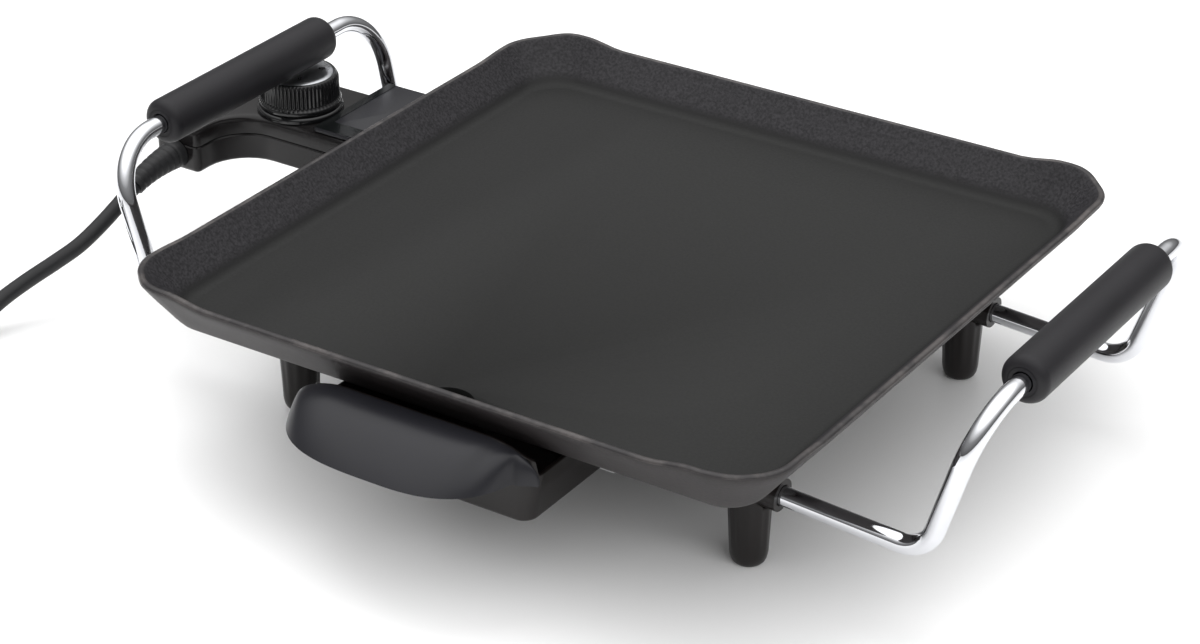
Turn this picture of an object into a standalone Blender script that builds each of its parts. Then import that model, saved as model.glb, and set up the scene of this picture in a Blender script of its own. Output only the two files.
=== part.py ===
"""Electric griddle: a square cast plate on four legs with two wire handles, a drip drawer
and a plug-in thermostat with its mains cord.  Metres, +Z up, the table top at z = 0."""
import math

import bmesh
import bpy
from mathutils import Vector

# ---------------------------------------------------------------- driving dimensions
CLEAR = 0.0003          # gap kept between touching pieces

RIM_Z = 0.0740          # top of the plate's rim above the table
PLATE_HALF = 0.1500     # half the width over the rim
PLATE_DEPTH = 0.0220    # rim to underside
FLOOR_DEPTH = 0.0165    # rim to cooking surface
RIM_LAND = 0.0026
RIM_LIFT = 0.0026       # how far the rim rises beside each corner, front and back
SIDE_LIFT = 0.0010      # and at the left and right sides
WIDTH_SCALE = 0.992     # the plate is a little narrower than it is deep
WIDTH_SHIFT = -0.0012
BOTTOM_Z = RIM_Z - PLATE_DEPTH
FLOOR_Z = RIM_Z - FLOOR_DEPTH
DRAIN_Y = -0.1325        # middle of the drain's round side
DRAIN_R = 0.0115
DRAIN_FLAT_Y = -0.1292   # its straight side, just inside the front wall

FOOT_X = 0.1070
FOOT_Y = 0.0860
FOOT_TOP_R = 0.0091
FOOT_TIP_R = 0.00755
FOOT_BORE_R = 0.0033

WIRE_R = 0.0040
WIRE_START_X = 0.1135
WIRE_KNEE_X = 0.1816
WIRE_START_Z = RIM_Z - 0.0398
WIRE_KNEE_Z = RIM_Z - 0.0447
WIRE_KNEE_R = 0.0140
WIRE_TOP_R = 0.0240
WIRE_TOP_Y = (-0.0865, 0.0930)
GRIP_X = 0.2008
GRIP_Z = RIM_Z + 0.0180
GRIP_R = 0.0098
GRIP_HALF = 0.0555

TRAY_FRONT_Y = -0.1490
TRAY_BACK_Y = -0.0560
TRAY_HALF = 0.0520
TRAY_DRAFT = 0.0025
TRAY_BOTTOM_Z = RIM_Z - 0.0460
TRAY_TOP_Z = RIM_Z - 0.0255
TRAY_WALL = 0.0018
LIP_TOP_Z = RIM_Z - 0.0128
LIP_EDGE_Z = RIM_Z - 0.0265
LIP_REACH = 0.0320
LIP_HALF = 0.0548
LIP_LEVEL = (0.0330, 0.0300)    # how far the upper edge stays level to the left and right
LIP_END_FALL = 0.0248          # the length over which it then rounds off
VISOR_LEFT = 0.0555            # the visor's own half lengths; a thin web fills the rest at the right
VISOR_RIGHT = 0.0455
LIP_SKIN = 0.0026

RAIL_GAUGE = 0.0010
RAIL_FRONT_Y = -0.0980
RAIL_BACK_Y = -0.0540

HEATER_R = 0.0032
HEATER_Z = BOTTOM_Z - 0.0004
PIN_R = 0.0018
PIN_Z = RIM_Z - 0.0278
PROBE_Y = 0.0500
PIN_PITCH = 0.0260
PROBE_R = 0.0028
PROBE_TIP_X = -0.0700
GUARD_MOUTH_X = -0.1400
GUARD_BACK_X = -0.1130

PLUG_BOTTOM_Z = RIM_Z - 0.0332
PLUG_SPLIT_Z = RIM_Z - 0.0205
DECK_Z = RIM_Z - 0.0118
PLATE_TOP_Z = RIM_Z - 0.0097
PLUG_WALL = 0.0018
PLUG_NOSE_X = -0.1475   # inner face of the plug's head
PLUG_STEP_X = -0.1835   # outer edge of the head plate
PLUG_HANDLE_X = -0.2256
PLUG_OUTER_X = -0.2496
PLUG_END_Y = -0.0050
PLUG_FRONT_Y = 0.0225
PLUG_DECK_Y = 0.0700
PLUG_REAR_Y = 0.0800

DIAL_X = -0.2030
DIAL_Y = 0.0405
DIAL_FLANGE_R = 0.0193
DIAL_R = 0.0178
DIAL_TOP_Z = RIM_Z + 0.0068

CORD_R = 0.0035
CORD_X = -0.2376
CORD_EXIT_Z = RIM_Z - 0.0252

# The part stands on the table with the middle of its box (cord apart) over the origin.
BOX_X = (PLUG_OUTER_X, GRIP_X + GRIP_R)
BOX_Y = (TRAY_FRONT_Y - CLEAR - LIP_REACH, PLATE_HALF)
SHIFT = (-sum(BOX_X) / 2, -sum(BOX_Y) / 2, 0.0)


# ---------------------------------------------------------------- scene and helpers
def clear_scene():
    for obj in list(bpy.data.objects):
        bpy.data.objects.remove(obj, do_unlink=True)


def new_collection(name):
    col = bpy.data.collections.new(name)
    bpy.context.scene.collection.children.link(col)
    return col


def material(name, colour, roughness, metallic=0.0):
    mat = bpy.data.materials.new(name)
    mat.use_nodes = True
    shader = mat.node_tree.nodes["Principled BSDF"]
    shader.inputs["Base Color"].default_value = (*colour, 1.0)
    shader.inputs["Roughness"].default_value = roughness
    shader.inputs["Metallic"].default_value = metallic
    return mat


clear_scene()
PARTS = new_collection("electric_griddle")
CUTTERS = new_collection("cutters")
BASE = bpy.data.objects.new("griddle_base", None)
BASE.location = SHIFT
PARTS.objects.link(BASE)

COATING = material("non_stick_coating", (0.030, 0.030, 0.031), 0.55)
BAKELITE = material("black_bakelite", (0.012, 0.010, 0.010), 0.38)
GLOSS_BLACK = material("gloss_black_plastic", (0.010, 0.010, 0.011), 0.20)
GREY_PLASTIC = material("dark_grey_plastic", (0.045, 0.046, 0.050), 0.30)
SOFT_GRIP = material("matte_grip_plastic", (0.028, 0.028, 0.031), 0.60)
CHROME = material("chrome", (0.80, 0.81, 0.82), 0.07, 1.0)
STEEL = material("steel", (0.42, 0.42, 0.43), 0.30, 1.0)
BRASS = material("brass", (0.70, 0.52, 0.22), 0.28, 1.0)
SILVER = material("silver_print", (0.52, 0.53, 0.54), 0.32, 0.8)
CERAMIC = material("ceramic", (0.78, 0.76, 0.72), 0.45)
RUBBER = material("black_rubber", (0.014, 0.014, 0.015), 0.55)


def adopt(obj, mat, cutter=False):
    """Link an object, give it its material and hang it on the base."""
    (CUTTERS if cutter else PARTS).objects.link(obj)
    obj.parent = BASE
    if cutter:
        obj.display_type = 'WIRE'
        obj.hide_render = True
    else:
        obj.data.materials.append(mat)
    return obj


def from_bmesh(name, bm, mat=None, smooth=None):
    mesh = bpy.data.meshes.new(name)
    bmesh.ops.recalc_face_normals(bm, faces=bm.faces)
    bm.to_mesh(mesh)
    bm.free()
    if smooth is not None:
        mesh.shade_smooth()
        mesh.set_sharp_from_angle(angle=math.radians(smooth))
    return adopt(bpy.data.objects.new(name, mesh), mat, cutter=mat is None)


def block(name, low, high, mat=None):
    bm = bmesh.new()
    bmesh.ops.create_cube(bm, size=1.0)
    size = Vector(high) - Vector(low)
    bmesh.ops.scale(bm, vec=size, verts=bm.verts)
    bmesh.ops.translate(bm, vec=(Vector(low) + Vector(high)) / 2, verts=bm.verts)
    return from_bmesh(name, bm, mat)


def rod(name, start, end, radius, mat=None, tip=None, sides=20):
    """A cylinder, or a cone when tip gives the far end's radius, between two points."""
    start, end = Vector(start), Vector(end)
    along = end - start
    bm = bmesh.new()
    bmesh.ops.create_cone(bm, cap_ends=True, segments=sides, radius1=radius,
                          radius2=radius if tip is None else tip, depth=along.length)
    turn = along.to_track_quat('Z', 'Y').to_matrix()
    bmesh.ops.rotate(bm, cent=(0, 0, 0), matrix=turn, verts=bm.verts)
    bmesh.ops.translate(bm, vec=(start + end) / 2, verts=bm.verts)
    return from_bmesh(name, bm, mat, smooth=40)


def turned(name, profile, place, mat=None, steps=28, tilt=(0, 0, 0)):
    """A turned piece: (radius, height) pairs from the top down, spun about the upright axis."""
    bm = bmesh.new()
    verts = [bm.verts.new((r, 0, z)) for r, z in profile]
    for a, b in zip(verts, verts[1:]):
        bm.edges.new((a, b))
    mesh = bpy.data.meshes.new(name)
    bm.to_mesh(mesh)
    bm.free()
    obj = adopt(bpy.data.objects.new(name, mesh), mat, cutter=mat is None)
    obj.location = place
    obj.rotation_euler = tilt
    spin = obj.modifiers.new("turn", 'SCREW')
    spin.steps = steps
    spin.render_steps = steps
    spin.use_merge_vertices = True
    spin.merge_threshold = 0.00001
    return obj


def tube(name, points, radius, mat, resolution=3):
    """A round wire through the points, with flat filled ends."""
    curve = bpy.data.curves.new(name, 'CURVE')
    curve.dimensions = '3D'
    curve.bevel_depth = radius
    curve.bevel_resolution = resolution
    curve.use_fill_caps = True
    spline = curve.splines.new('POLY')
    spline.points.add(len(points) - 1)
    for slot, p in zip(spline.points, points):
        slot.co = (*p, 1.0)
    return adopt(bpy.data.objects.new(name, curve), mat, cutter=mat is None)


def as_mesh(obj):
    """Turn a curve object into a mesh object whose caps are welded on."""
    bpy.context.view_layer.update()
    ready = obj.evaluated_get(bpy.context.evaluated_depsgraph_get())
    mesh = bpy.data.meshes.new_from_object(ready)
    bm = bmesh.new()
    bm.from_mesh(mesh)
    bmesh.ops.remove_doubles(bm, verts=bm.verts, dist=0.00001)
    bm.to_mesh(mesh)
    bm.free()
    name, cutter = obj.name, obj.display_type == 'WIRE'
    mat = None if cutter else obj.data.materials[0]
    place = obj.matrix_world.copy()
    bpy.data.objects.remove(obj)
    mesh.materials.clear()
    new = adopt(bpy.data.objects.new(name, mesh), mat, cutter)
    new.matrix_world = place
    return new


def loft(name, rings, mat, caps=True, smooth=45):
    """A closed body, or an open skin, through rings that have equal numbers of points."""
    bm = bmesh.new()
    layers = [[bm.verts.new(p) for p in ring] for ring in rings]
    count = len(rings[0])
    for low, high in zip(layers, layers[1:]):
        for i in range(count):
            j = (i + 1) % count
            bm.faces.new((low[i], low[j], high[j], high[i]))
    if caps:
        bm.faces.new(layers[0])
        bm.faces.new(layers[-1])
    return from_bmesh(name, bm, mat, smooth=smooth)


def prism(name, outline, low, high, mat=None):
    """An upright prism of a flat outline between two heights."""
    return loft(name, [[(x, y, z) for x, y in outline] for z in (low, high)], mat, smooth=35)


def boolean(obj, other, operation='DIFFERENCE'):
    mod = obj.modifiers.new(operation.lower(), 'BOOLEAN')
    mod.operation = operation
    mod.object = other
    mod.solver = 'EXACT'


def bevel(obj, width, segments=2, angle=40):
    mod = obj.modifiers.new("bevel", 'BEVEL')
    mod.width = width
    mod.segments = segments
    mod.limit_method = 'ANGLE'
    mod.angle_limit = math.radians(angle)


def filleted(corners, radii, steps=6):
    """A path through the corners, each inner corner rounded by an arc of its radius."""
    corners = [Vector(p) for p in corners]
    path = [corners[0]]
    for before, here, after, radius in zip(corners, corners[1:], corners[2:], radii):
        a = (before - here).normalized()
        b = (after - here).normalized()
        half = a.angle(b) / 2
        centre = here + (a + b).normalized() * radius / math.sin(half)
        start = here + a * radius / math.tan(half) - centre
        end = here + b * radius / math.tan(half) - centre
        sweep = math.pi - 2 * half
        for k in range(steps + 1):
            t = k / steps
            w0 = math.sin((1 - t) * sweep) / math.sin(sweep)
            w1 = math.sin(t * sweep) / math.sin(sweep)
            path.append(centre + start * w0 + end * w1)
    path.append(corners[-1])
    return path


def ring_of(corners, radii, steps=4):
    """A closed flat outline with rounded corners, as (x, y) pairs."""
    count = len(corners)
    outline = []
    for i, radius in enumerate(radii):
        three = [(*corners[(i + k) % count], 0.0) for k in (-1, 0, 1)]
        arc = filleted(three, [radius], steps)[1:-1] if radius else [Vector(three[1])]
        outline += [(p.x, p.y) for p in arc]
    return outline


def ease(t):
    t = min(max(t, 0.0), 1.0)
    return t * t * (3 - 2 * t)


# ---------------------------------------------------------------- cooking plate
STATIONS = (0.70, 0.80, 0.90)


def rim_rise(x, y):
    """The rim stands a little higher beside each corner."""
    near = ease((min(abs(x), abs(y)) - 0.094) / 0.024)
    front = ease((abs(y) - abs(x) + 0.022) / 0.044)
    return near * (SIDE_LIFT + (RIM_LIFT - SIDE_LIFT) * front ** 3)


def plate_outline(half, cut, radius, lift, z):
    """One level of the plate: a square with cut, rounded corners that rise slightly."""
    side_end = half - cut - radius * math.tan(math.pi / 8)
    quarter = []
    for centre, start in (((half - radius, side_end), 0.0), ((side_end, half - radius), 45.0)):
        for k in range(5):
            a = math.radians(start + 45.0 * k / 4)
            quarter.append((centre[0] + radius * math.cos(a), centre[1] + radius * math.sin(a)))
    stations = [(half, s * side_end) for s in STATIONS]
    quarter = stations + quarter + [(y, x) for x, y in reversed(stations)]
    ring = []
    for turn in range(4):
        for x, y in quarter:
            for _ in range(turn):
                x, y = -y, x
            ring.append((x, y))
    return [(x * WIDTH_SCALE + WIDTH_SHIFT, y, z + lift * rim_rise(x, y)) for x, y in ring]


def cooking_plate():
    outer = [(0.1305, 0.0065, 0.0105, 0.0, BOTTOM_Z),
             (0.1335, 0.0078, 0.0115, 0.0, BOTTOM_Z + 0.0006),
             (0.1360, 0.0092, 0.0120, 0.0, BOTTOM_Z + 0.0030),
             (0.1425, 0.0130, 0.0125, 0.4, BOTTOM_Z + 0.0106),
             (0.1490, 0.0168, 0.0130, 1.0, BOTTOM_Z + 0.0185),
             (PLATE_HALF, 0.0174, 0.0130, 1.0, RIM_Z - 0.0016),
             (PLATE_HALF - 0.0004, 0.0174, 0.0130, 1.0, RIM_Z - 0.0004)]
    inner_rim = PLATE_HALF - RIM_LAND
    inner = [(inner_rim + 0.0004, 0.0160, 0.0125, 1.0, RIM_Z),
             (inner_rim - 0.0006, 0.0156, 0.0125, 1.0, RIM_Z - 0.0006),
             (0.1405, 0.0125, 0.0120, 0.4, FLOOR_Z + 0.0082),
             (0.1352, 0.0105, 0.0115, 0.0, FLOOR_Z + 0.0018),
             (0.1335, 0.0100, 0.0110, 0.0, FLOOR_Z + 0.0004),
             (0.1310, 0.0095, 0.0110, 0.0, FLOOR_Z)]
    rings = [plate_outline(*level) for level in outer + inner]
    plate = loft("cooking_plate", rings, COATING, smooth=30)
    boss = block("probe_boss", (PROBE_TIP_X - 0.030, PROBE_Y - 0.007, PIN_Z - 0.0060),
                 (PROBE_TIP_X + 0.010, PROBE_Y + 0.007, BOTTOM_Z + 0.0010))
    boolean(plate, boss, 'UNION')
    bore = rod("probe_bore", (PROBE_TIP_X - 0.035, PROBE_Y, PIN_Z),
               (PROBE_TIP_X + 0.004, PROBE_Y, PIN_Z), PROBE_R + 0.0005, sides=12)
    boolean(plate, bore)
    spread = math.acos((DRAIN_FLAT_Y - DRAIN_Y) / DRAIN_R)
    arc = [spread * (k / 6 - 1) for k in range(13)]
    arc = [(-DRAIN_R * math.sin(a), DRAIN_Y + DRAIN_R * math.cos(a)) for a in arc]
    boolean(plate, prism("drain_cutter", arc, BOTTOM_Z - 0.005, RIM_Z + 0.002))
    groove = as_mesh(tube("heater_groove", heater_path(), HEATER_R + CLEAR, None, 2))
    boolean(plate, groove)
    for k, (x, y) in enumerate(foot_places() + rail_screw_places()):
        radius = SCREW_R + 0.0004
        hole = rod(f"plate_hole_{k}", (x, y, BOTTOM_Z - 0.002), (x, y, BOTTOM_Z + 0.0034),
                   radius, sides=10)
        boolean(plate, hole)


# ---------------------------------------------------------------- heater and terminals
def heater_path():
    """A loop under the plate: in at the rear terminal, round, and back at the front one."""
    rear_y = PROBE_Y + PIN_PITCH / 2
    front_y = PROBE_Y - PIN_PITCH / 2
    corners = [(-0.1180, rear_y, PIN_Z), (-0.1060, rear_y, PIN_Z), (-0.0900, rear_y, HEATER_Z),
               (-0.0800, rear_y + 0.003, HEATER_Z), (-0.0640, 0.1000, HEATER_Z),
               (0.0850, 0.1000, HEATER_Z), (0.0850, -0.0380, HEATER_Z),
               (-0.0760, -0.0380, HEATER_Z), (-0.0760, front_y, HEATER_Z),
               (-0.0900, front_y, HEATER_Z), (-0.1060, front_y, PIN_Z),
               (-0.1180, front_y, PIN_Z)]
    radii = (0.010, 0.010, 0.008, 0.016, 0.026, 0.026, 0.026, 0.012, 0.001, 0.010)
    radii = radii[:7] + (0.006, 0.010, 0.010)
    return filleted(corners, radii, 4)


def heater_and_terminals():
    tube("heating_element", heater_path(), HEATER_R, STEEL, 2)
    for name, side in (("terminal_pin_front", -1), ("terminal_pin_rear", 1)):
        y = PROBE_Y + side * PIN_PITCH / 2
        rod(name, (-0.1180 - CLEAR, y, PIN_Z), (-0.1420, y, PIN_Z), PIN_R, STEEL, sides=12)
    half = 0.0210
    low = (GUARD_MOUTH_X, PROBE_Y - half, PIN_Z - 0.0052)
    high = (GUARD_BACK_X, PROBE_Y + half, BOTTOM_Z - CLEAR)
    guard = block("terminal_guard", low, high, STEEL)
    inner = block("guard_cutter", (low[0] - 0.01, low[1] + RAIL_GAUGE, low[2] + RAIL_GAUGE),
                  (high[0] - RAIL_GAUGE, high[1] - RAIL_GAUGE, high[2] - RAIL_GAUGE))
    boolean(guard, inner)
    for k, y in enumerate((PROBE_Y - PIN_PITCH / 2, PROBE_Y, PROBE_Y + PIN_PITCH / 2)):
        radius = HEATER_R + 0.0005 if k != 1 else PROBE_R + 0.0005
        hole = rod(f"guard_hole_{k}", (GUARD_BACK_X - 0.004, y, PIN_Z),
                   (GUARD_BACK_X + 0.004, y, PIN_Z), radius, sides=12)
        boolean(guard, hole)


# ---------------------------------------------------------------- legs and screws
SCREW_R = 0.0018
SCREW_HEAD_R = 0.0030
SCREW_HEAD_Z = 0.0200


def foot_places():
    return [(sx * FOOT_X, sy * FOOT_Y) for sx in (-1, 1) for sy in (-1, 1)]


def foot_name(x, y):
    return ("left" if x < 0 else "right") + ("_front" if y < 0 else "_rear")


def foot(x, y):
    side = math.copysign(1, x)
    top = BOTTOM_Z - CLEAR
    flange = top - 0.0030
    profile = [(0.0, top), (0.0150, top), (0.0155, top - 0.0008), (0.0155, flange),
               (0.0112, flange - 0.0015), (0.0096, flange - 0.0050),
               (FOOT_TOP_R, flange - 0.0100), (FOOT_TIP_R, 0.0050), (0.0068, 0.0018),
               (0.0054, 0.0), (0.0, 0.0)]
    leg = turned(f"leg_{foot_name(x, y)}", profile, (x, y, 0), BAKELITE, steps=20)
    collar_end = (x + side * 0.0140, y, wire_height(FOOT_X + 0.0140))
    collar = rod(f"collar_{foot_name(x, y)}", (x, y, wire_height(FOOT_X)), collar_end,
                 WIRE_R + 0.0026, sides=14)
    boolean(leg, collar, 'UNION')
    socket = rod(f"socket_{foot_name(x, y)}",
                 (side * (WIRE_START_X - CLEAR), y, wire_height(WIRE_START_X)),
                 (side * (WIRE_START_X + 0.020), y, wire_height(WIRE_START_X + 0.020)),
                 WIRE_R + CLEAR, sides=16)
    boolean(leg, socket)
    counterbore = rod(f"counterbore_{foot_name(x, y)}", (x, y, -0.001),
                      (x, y, SCREW_HEAD_Z + CLEAR), FOOT_BORE_R, sides=12)
    boolean(leg, counterbore)
    shank = rod(f"shank_hole_{foot_name(x, y)}", (x, y, SCREW_HEAD_Z - 0.001),
                (x, y, top + 0.001), SCREW_R + 0.0004, sides=10)
    boolean(leg, shank)
    head = SCREW_HEAD_Z - 0.0022
    profile = [(0.0, BOTTOM_Z + 0.0030), (SCREW_R, BOTTOM_Z + 0.0030), (SCREW_R, SCREW_HEAD_Z),
               (SCREW_HEAD_R, SCREW_HEAD_Z), (SCREW_HEAD_R - 0.0004, head), (0.0, head)]
    turned(f"leg_screw_{foot_name(x, y)}", profile, (x, y, 0), STEEL, steps=10)


# ---------------------------------------------------------------- handles
def wire_height(x):
    """Height of the outgoing run of a handle wire at a distance x from the middle."""
    t = (x - FOOT_X) / (WIRE_KNEE_X - FOOT_X)
    return WIRE_START_Z + t * (WIRE_KNEE_Z - WIRE_START_Z)


def handle(name, side):
    front = [(side * WIRE_START_X, -FOOT_Y, wire_height(WIRE_START_X)),
             (side * WIRE_KNEE_X, -FOOT_Y, WIRE_KNEE_Z)]
    top = [(side * GRIP_X, y, GRIP_Z) for y in WIRE_TOP_Y]
    rear = [(x, -y, z) for x, y, z in reversed(front)]
    radii = (WIRE_KNEE_R, WIRE_TOP_R, WIRE_TOP_R, WIRE_KNEE_R)
    tube(f"handle_wire_{name}", filleted(front + top + rear, radii, 7), WIRE_R, CHROME, 2)
    grip = rod(f"handle_grip_{name}", (side * GRIP_X, -GRIP_HALF, GRIP_Z),
               (side * GRIP_X, GRIP_HALF, GRIP_Z), GRIP_R, SOFT_GRIP, sides=24)
    bevel(grip, 0.0040, 3, 60)
    bore = rod(f"grip_bore_{name}", (side * GRIP_X, -GRIP_HALF - 0.01, GRIP_Z),
               (side * GRIP_X, GRIP_HALF + 0.01, GRIP_Z), WIRE_R + CLEAR, sides=16)
    boolean(grip, bore)


# ---------------------------------------------------------------- drip drawer
def lip_ridge(x):
    """Height of the drawer front's upper edge: level, then rounding off at both ends."""
    low = LIP_EDGE_Z + 0.0012
    level = LIP_LEVEL[0] if x < 0 else LIP_LEVEL[1]
    t = min(max((abs(x) - level) / LIP_END_FALL, 0.0), 1.0)
    return low + (LIP_TOP_Z - low) * math.sqrt(1 - t * t)


def visor_reach(x):
    """How far the visor stands out at x: rounded ends, and a thin web beyond the right one."""
    half = VISOR_LEFT if x < 0 else VISOR_RIGHT
    dome = LIP_REACH * max(1 - abs(x / half) ** 3, 0.0) ** 0.5
    web = 0.0012 + (0.0035 * ease((LIP_HALF - x) / 0.008) if x > 0 else 0.0)
    return max(dome, web)


def tray_ring(half, front, back, radius, z, raised=False):
    corners = [(-half, front), (half, front), (half, back), (-half, back)]
    steps = 4
    corner_ring = ring_of(corners, (radius,) * 4, steps)
    # extra stations along the front wall carry its raised middle
    stations = [(-half + radius + k * (half - radius) / 5, front) for k in range(1, 10)]
    outline = corner_ring[:steps + 1] + stations + corner_ring[steps + 1:]
    ring = []
    for x, y in outline:
        lift = max(lip_ridge(x) - 0.0006 - z, 0.0) if raised and y < front + radius * 0.6 else 0.0
        ring.append((x, y, z + lift))
    return ring


def drip_tray():
    foot_half = TRAY_HALF - TRAY_DRAFT
    rings = [tray_ring(foot_half - 0.0030, TRAY_FRONT_Y + 0.0030, TRAY_BACK_Y - 0.0040, 0.0040,
                       TRAY_BOTTOM_Z),
             tray_ring(foot_half - 0.0008, TRAY_FRONT_Y + 0.0008, TRAY_BACK_Y - 0.0020, 0.0055,
                       TRAY_BOTTOM_Z + 0.0008),
             tray_ring(foot_half, TRAY_FRONT_Y, TRAY_BACK_Y - 0.0012, 0.0060,
                       TRAY_BOTTOM_Z + 0.0030),
             tray_ring(TRAY_HALF, TRAY_FRONT_Y, TRAY_BACK_Y, 0.0070, TRAY_TOP_Z, raised=True)]
    bm = bmesh.new()
    layers = [[bm.verts.new(p) for p in ring] for ring in rings]
    count = len(rings[0])
    for low, high in zip(layers, layers[1:]):
        for i in range(count):
            j = (i + 1) % count
            bm.faces.new((low[i], low[j], high[j], high[i]))
    bm.faces.new(list(reversed(layers[0])))
    tray = from_bmesh("drip_tray", bm, BAKELITE, smooth=35)
    shell = tray.modifiers.new("wall", 'SOLIDIFY')
    shell.thickness = TRAY_WALL
    shell.offset = -1.0
    shell.use_even_offset = True


def visor_section(x, rows):
    """The visor cut at x: its outer skin from the top edge down, and its inner one back up."""
    outer_reach = visor_reach(x)
    outer_rise = lip_ridge(x) - LIP_EDGE_Z
    inner_reach = max(outer_reach - LIP_SKIN, 0.4 * outer_reach)
    inner_rise = max(outer_rise - LIP_SKIN, 0.3 * outer_rise)
    back = TRAY_FRONT_Y - CLEAR
    section = []
    for reach, rise, order in ((outer_reach, outer_rise, 1), (inner_reach, inner_rise, -1)):
        skin = []
        for j in range(rows + 1):
            t = math.sin(math.pi / 2 * j / rows)
            skin.append((x, back - reach * t, LIP_EDGE_Z + rise * (1 - t ** 2.6)))
        section += skin[::order]
    return section


def tray_handle():
    """The drawer's fascia: a D-shaped visor, domed, with a web to its right."""
    columns, rows = 28, 8
    sections = [visor_section(-math.cos(math.pi * i / columns) * LIP_HALF, rows)
                for i in range(columns + 1)]
    loft("tray_handle", sections, GREY_PLASTIC, smooth=50)


def rail_screw_places():
    return [(sx * 0.0600, y) for sx in (-1, 1) for y in (-0.088, -0.064)]


def tray_rails():
    """Folded sheet guides: a top flange on the plate, a web and a ledge under the drawer."""
    for name, side in (("left", -1), ("right", 1)):
        web = TRAY_HALF + 0.0012
        top = BOTTOM_Z - CLEAR
        ledge = TRAY_BOTTOM_Z - CLEAR
        section = [(web + 0.0140, top), (web, top), (web, ledge), (web - 0.0080, ledge),
                   (web - 0.0080, ledge - RAIL_GAUGE), (web + RAIL_GAUGE, ledge - RAIL_GAUGE),
                   (web + RAIL_GAUGE, top - RAIL_GAUGE), (web + 0.0140, top - RAIL_GAUGE)]
        rings = [[(side * x, y, z) for x, z in section] for y in (RAIL_FRONT_Y, RAIL_BACK_Y)]
        rail = loft(f"tray_rail_{name}", rings, STEEL, smooth=30)
        for k, (x, y) in enumerate(rail_screw_places()):
            if x * side < 0:
                continue
            end = "front" if k % 2 == 0 else "rear"
            hole = rod(f"rail_hole_{name}_{end}", (x, y, top - 0.004), (x, y, top + 0.002),
                       SCREW_R + 0.0004, sides=10)
            boolean(rail, hole)
            under = top - RAIL_GAUGE - CLEAR
            profile = [(0.0, BOTTOM_Z + 0.0030), (SCREW_R, BOTTOM_Z + 0.0030),
                       (SCREW_R, under), (0.0034, under), (0.0028, under - 0.0016),
                       (0.0, under - 0.0020)]
            turned(f"rail_screw_{name}_{end}", profile, (x, y, 0), STEEL, steps=10)


# ---------------------------------------------------------------- thermostat plug
def plug_outline(inset=0.0):
    """The plug seen from above: a head towards the plate and a handle turned to the front."""
    i = inset
    corners = [(PLUG_NOSE_X - i, PLUG_FRONT_Y + i), (PLUG_NOSE_X - i, PLUG_REAR_Y - i),
               (PLUG_STEP_X + i, PLUG_REAR_Y - i), (PLUG_STEP_X + i, PLUG_DECK_Y - i),
               (PLUG_OUTER_X + i, PLUG_DECK_Y - i), (PLUG_OUTER_X + i, PLUG_END_Y + i),
               (PLUG_HANDLE_X - i, PLUG_END_Y + i), (PLUG_HANDLE_X - i, PLUG_FRONT_Y + i)]
    radii = (0.0020, 0.0030, 0.0030, 0.0020, 0.0240, 0.0030, 0.0030, 0.0190)
    grown = [max(r - i, 0.0005) for r in radii[:3]] + [radii[3] + i]
    grown += [max(r - i, 0.0005) for r in radii[4:7]] + [radii[7] + i]
    return ring_of(corners, grown, 4)


SHELL_POSTS = ((-0.1620, 0.0720), (-0.2376, 0.0140))


def plug_shells():
    wall = PLUG_WALL
    upper = prism("thermostat_upper_shell", plug_outline(), PLUG_SPLIT_Z + CLEAR, DECK_Z,
                  BAKELITE)
    bevel(upper, 0.0008, 1, 60)
    room = prism("upper_room", plug_outline(wall), PLUG_SPLIT_Z - 0.002, DECK_Z - wall)
    boolean(upper, room)
    lower = prism("thermostat_lower_shell", plug_outline(), PLUG_BOTTOM_Z,
                  PLUG_SPLIT_Z, BAKELITE)
    bevel(lower, 0.0008, 1, 60)
    room = prism("lower_room", plug_outline(wall), PLUG_BOTTOM_Z + wall, PLUG_SPLIT_Z + 0.002)
    boolean(lower, room)
    for k, (x, y) in enumerate(SHELL_POSTS):
        post = rod(f"post_{k}", (x, y, PLUG_BOTTOM_Z + wall + CLEAR), (x, y, DECK_Z - 0.0005),
                   0.0032, sides=12)
        boolean(upper, post, 'UNION')
        thread = rod(f"thread_{k}", (x, y, PLUG_BOTTOM_Z - 0.001), (x, y, PLUG_SPLIT_Z + 0.002),
                     0.0015, sides=8)
        boolean(upper, thread)
        boolean(lower, thread)
        recess = rod(f"recess_{k}", (x, y, PLUG_BOTTOM_Z - 0.001), (x, y, PLUG_BOTTOM_Z + 0.0010),
                     0.0030, sides=12)
        boolean(lower, recess)
        profile = [(0.0, PLUG_SPLIT_Z - 0.001), (0.0012, PLUG_SPLIT_Z - 0.001),
                   (0.0012, PLUG_BOTTOM_Z + 0.0007), (0.0026, PLUG_BOTTOM_Z + 0.0007),
                   (0.0026, PLUG_BOTTOM_Z + 0.0001), (0.0, PLUG_BOTTOM_Z + 0.0001)]
        turned(f"shell_screw_{k + 1}", profile, (x, y, 0), STEEL, steps=10)
    nose_port = block("nose_port", nose_box(0.0003)[0], nose_box(0.0003)[1])
    boolean(upper, nose_port)
    boolean(lower, nose_port)
    dial_port = rod("dial_port", (DIAL_X, DIAL_Y, DECK_Z - 0.004), (DIAL_X, DIAL_Y, DECK_Z + 0.002),
                    0.0035, sides=14)
    boolean(upper, dial_port)
    cord_port = rod("cord_port", (CORD_X, PLUG_END_Y - 0.005, CORD_EXIT_Z),
                    (CORD_X, PLUG_END_Y + 0.006, CORD_EXIT_Z), 0.0045, sides=14)
    boolean(upper, cord_port)
    boolean(lower, cord_port)


def nose_box(grow=0.0):
    low = (PLUG_NOSE_X - 0.0150 - grow, PROBE_Y - 0.0190 - grow, PIN_Z - 0.0034 - grow)
    high = (GUARD_BACK_X - 0.0080 + grow, PROBE_Y + 0.0190 + grow, PIN_Z + 0.0042 + grow)
    return low, high


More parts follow.
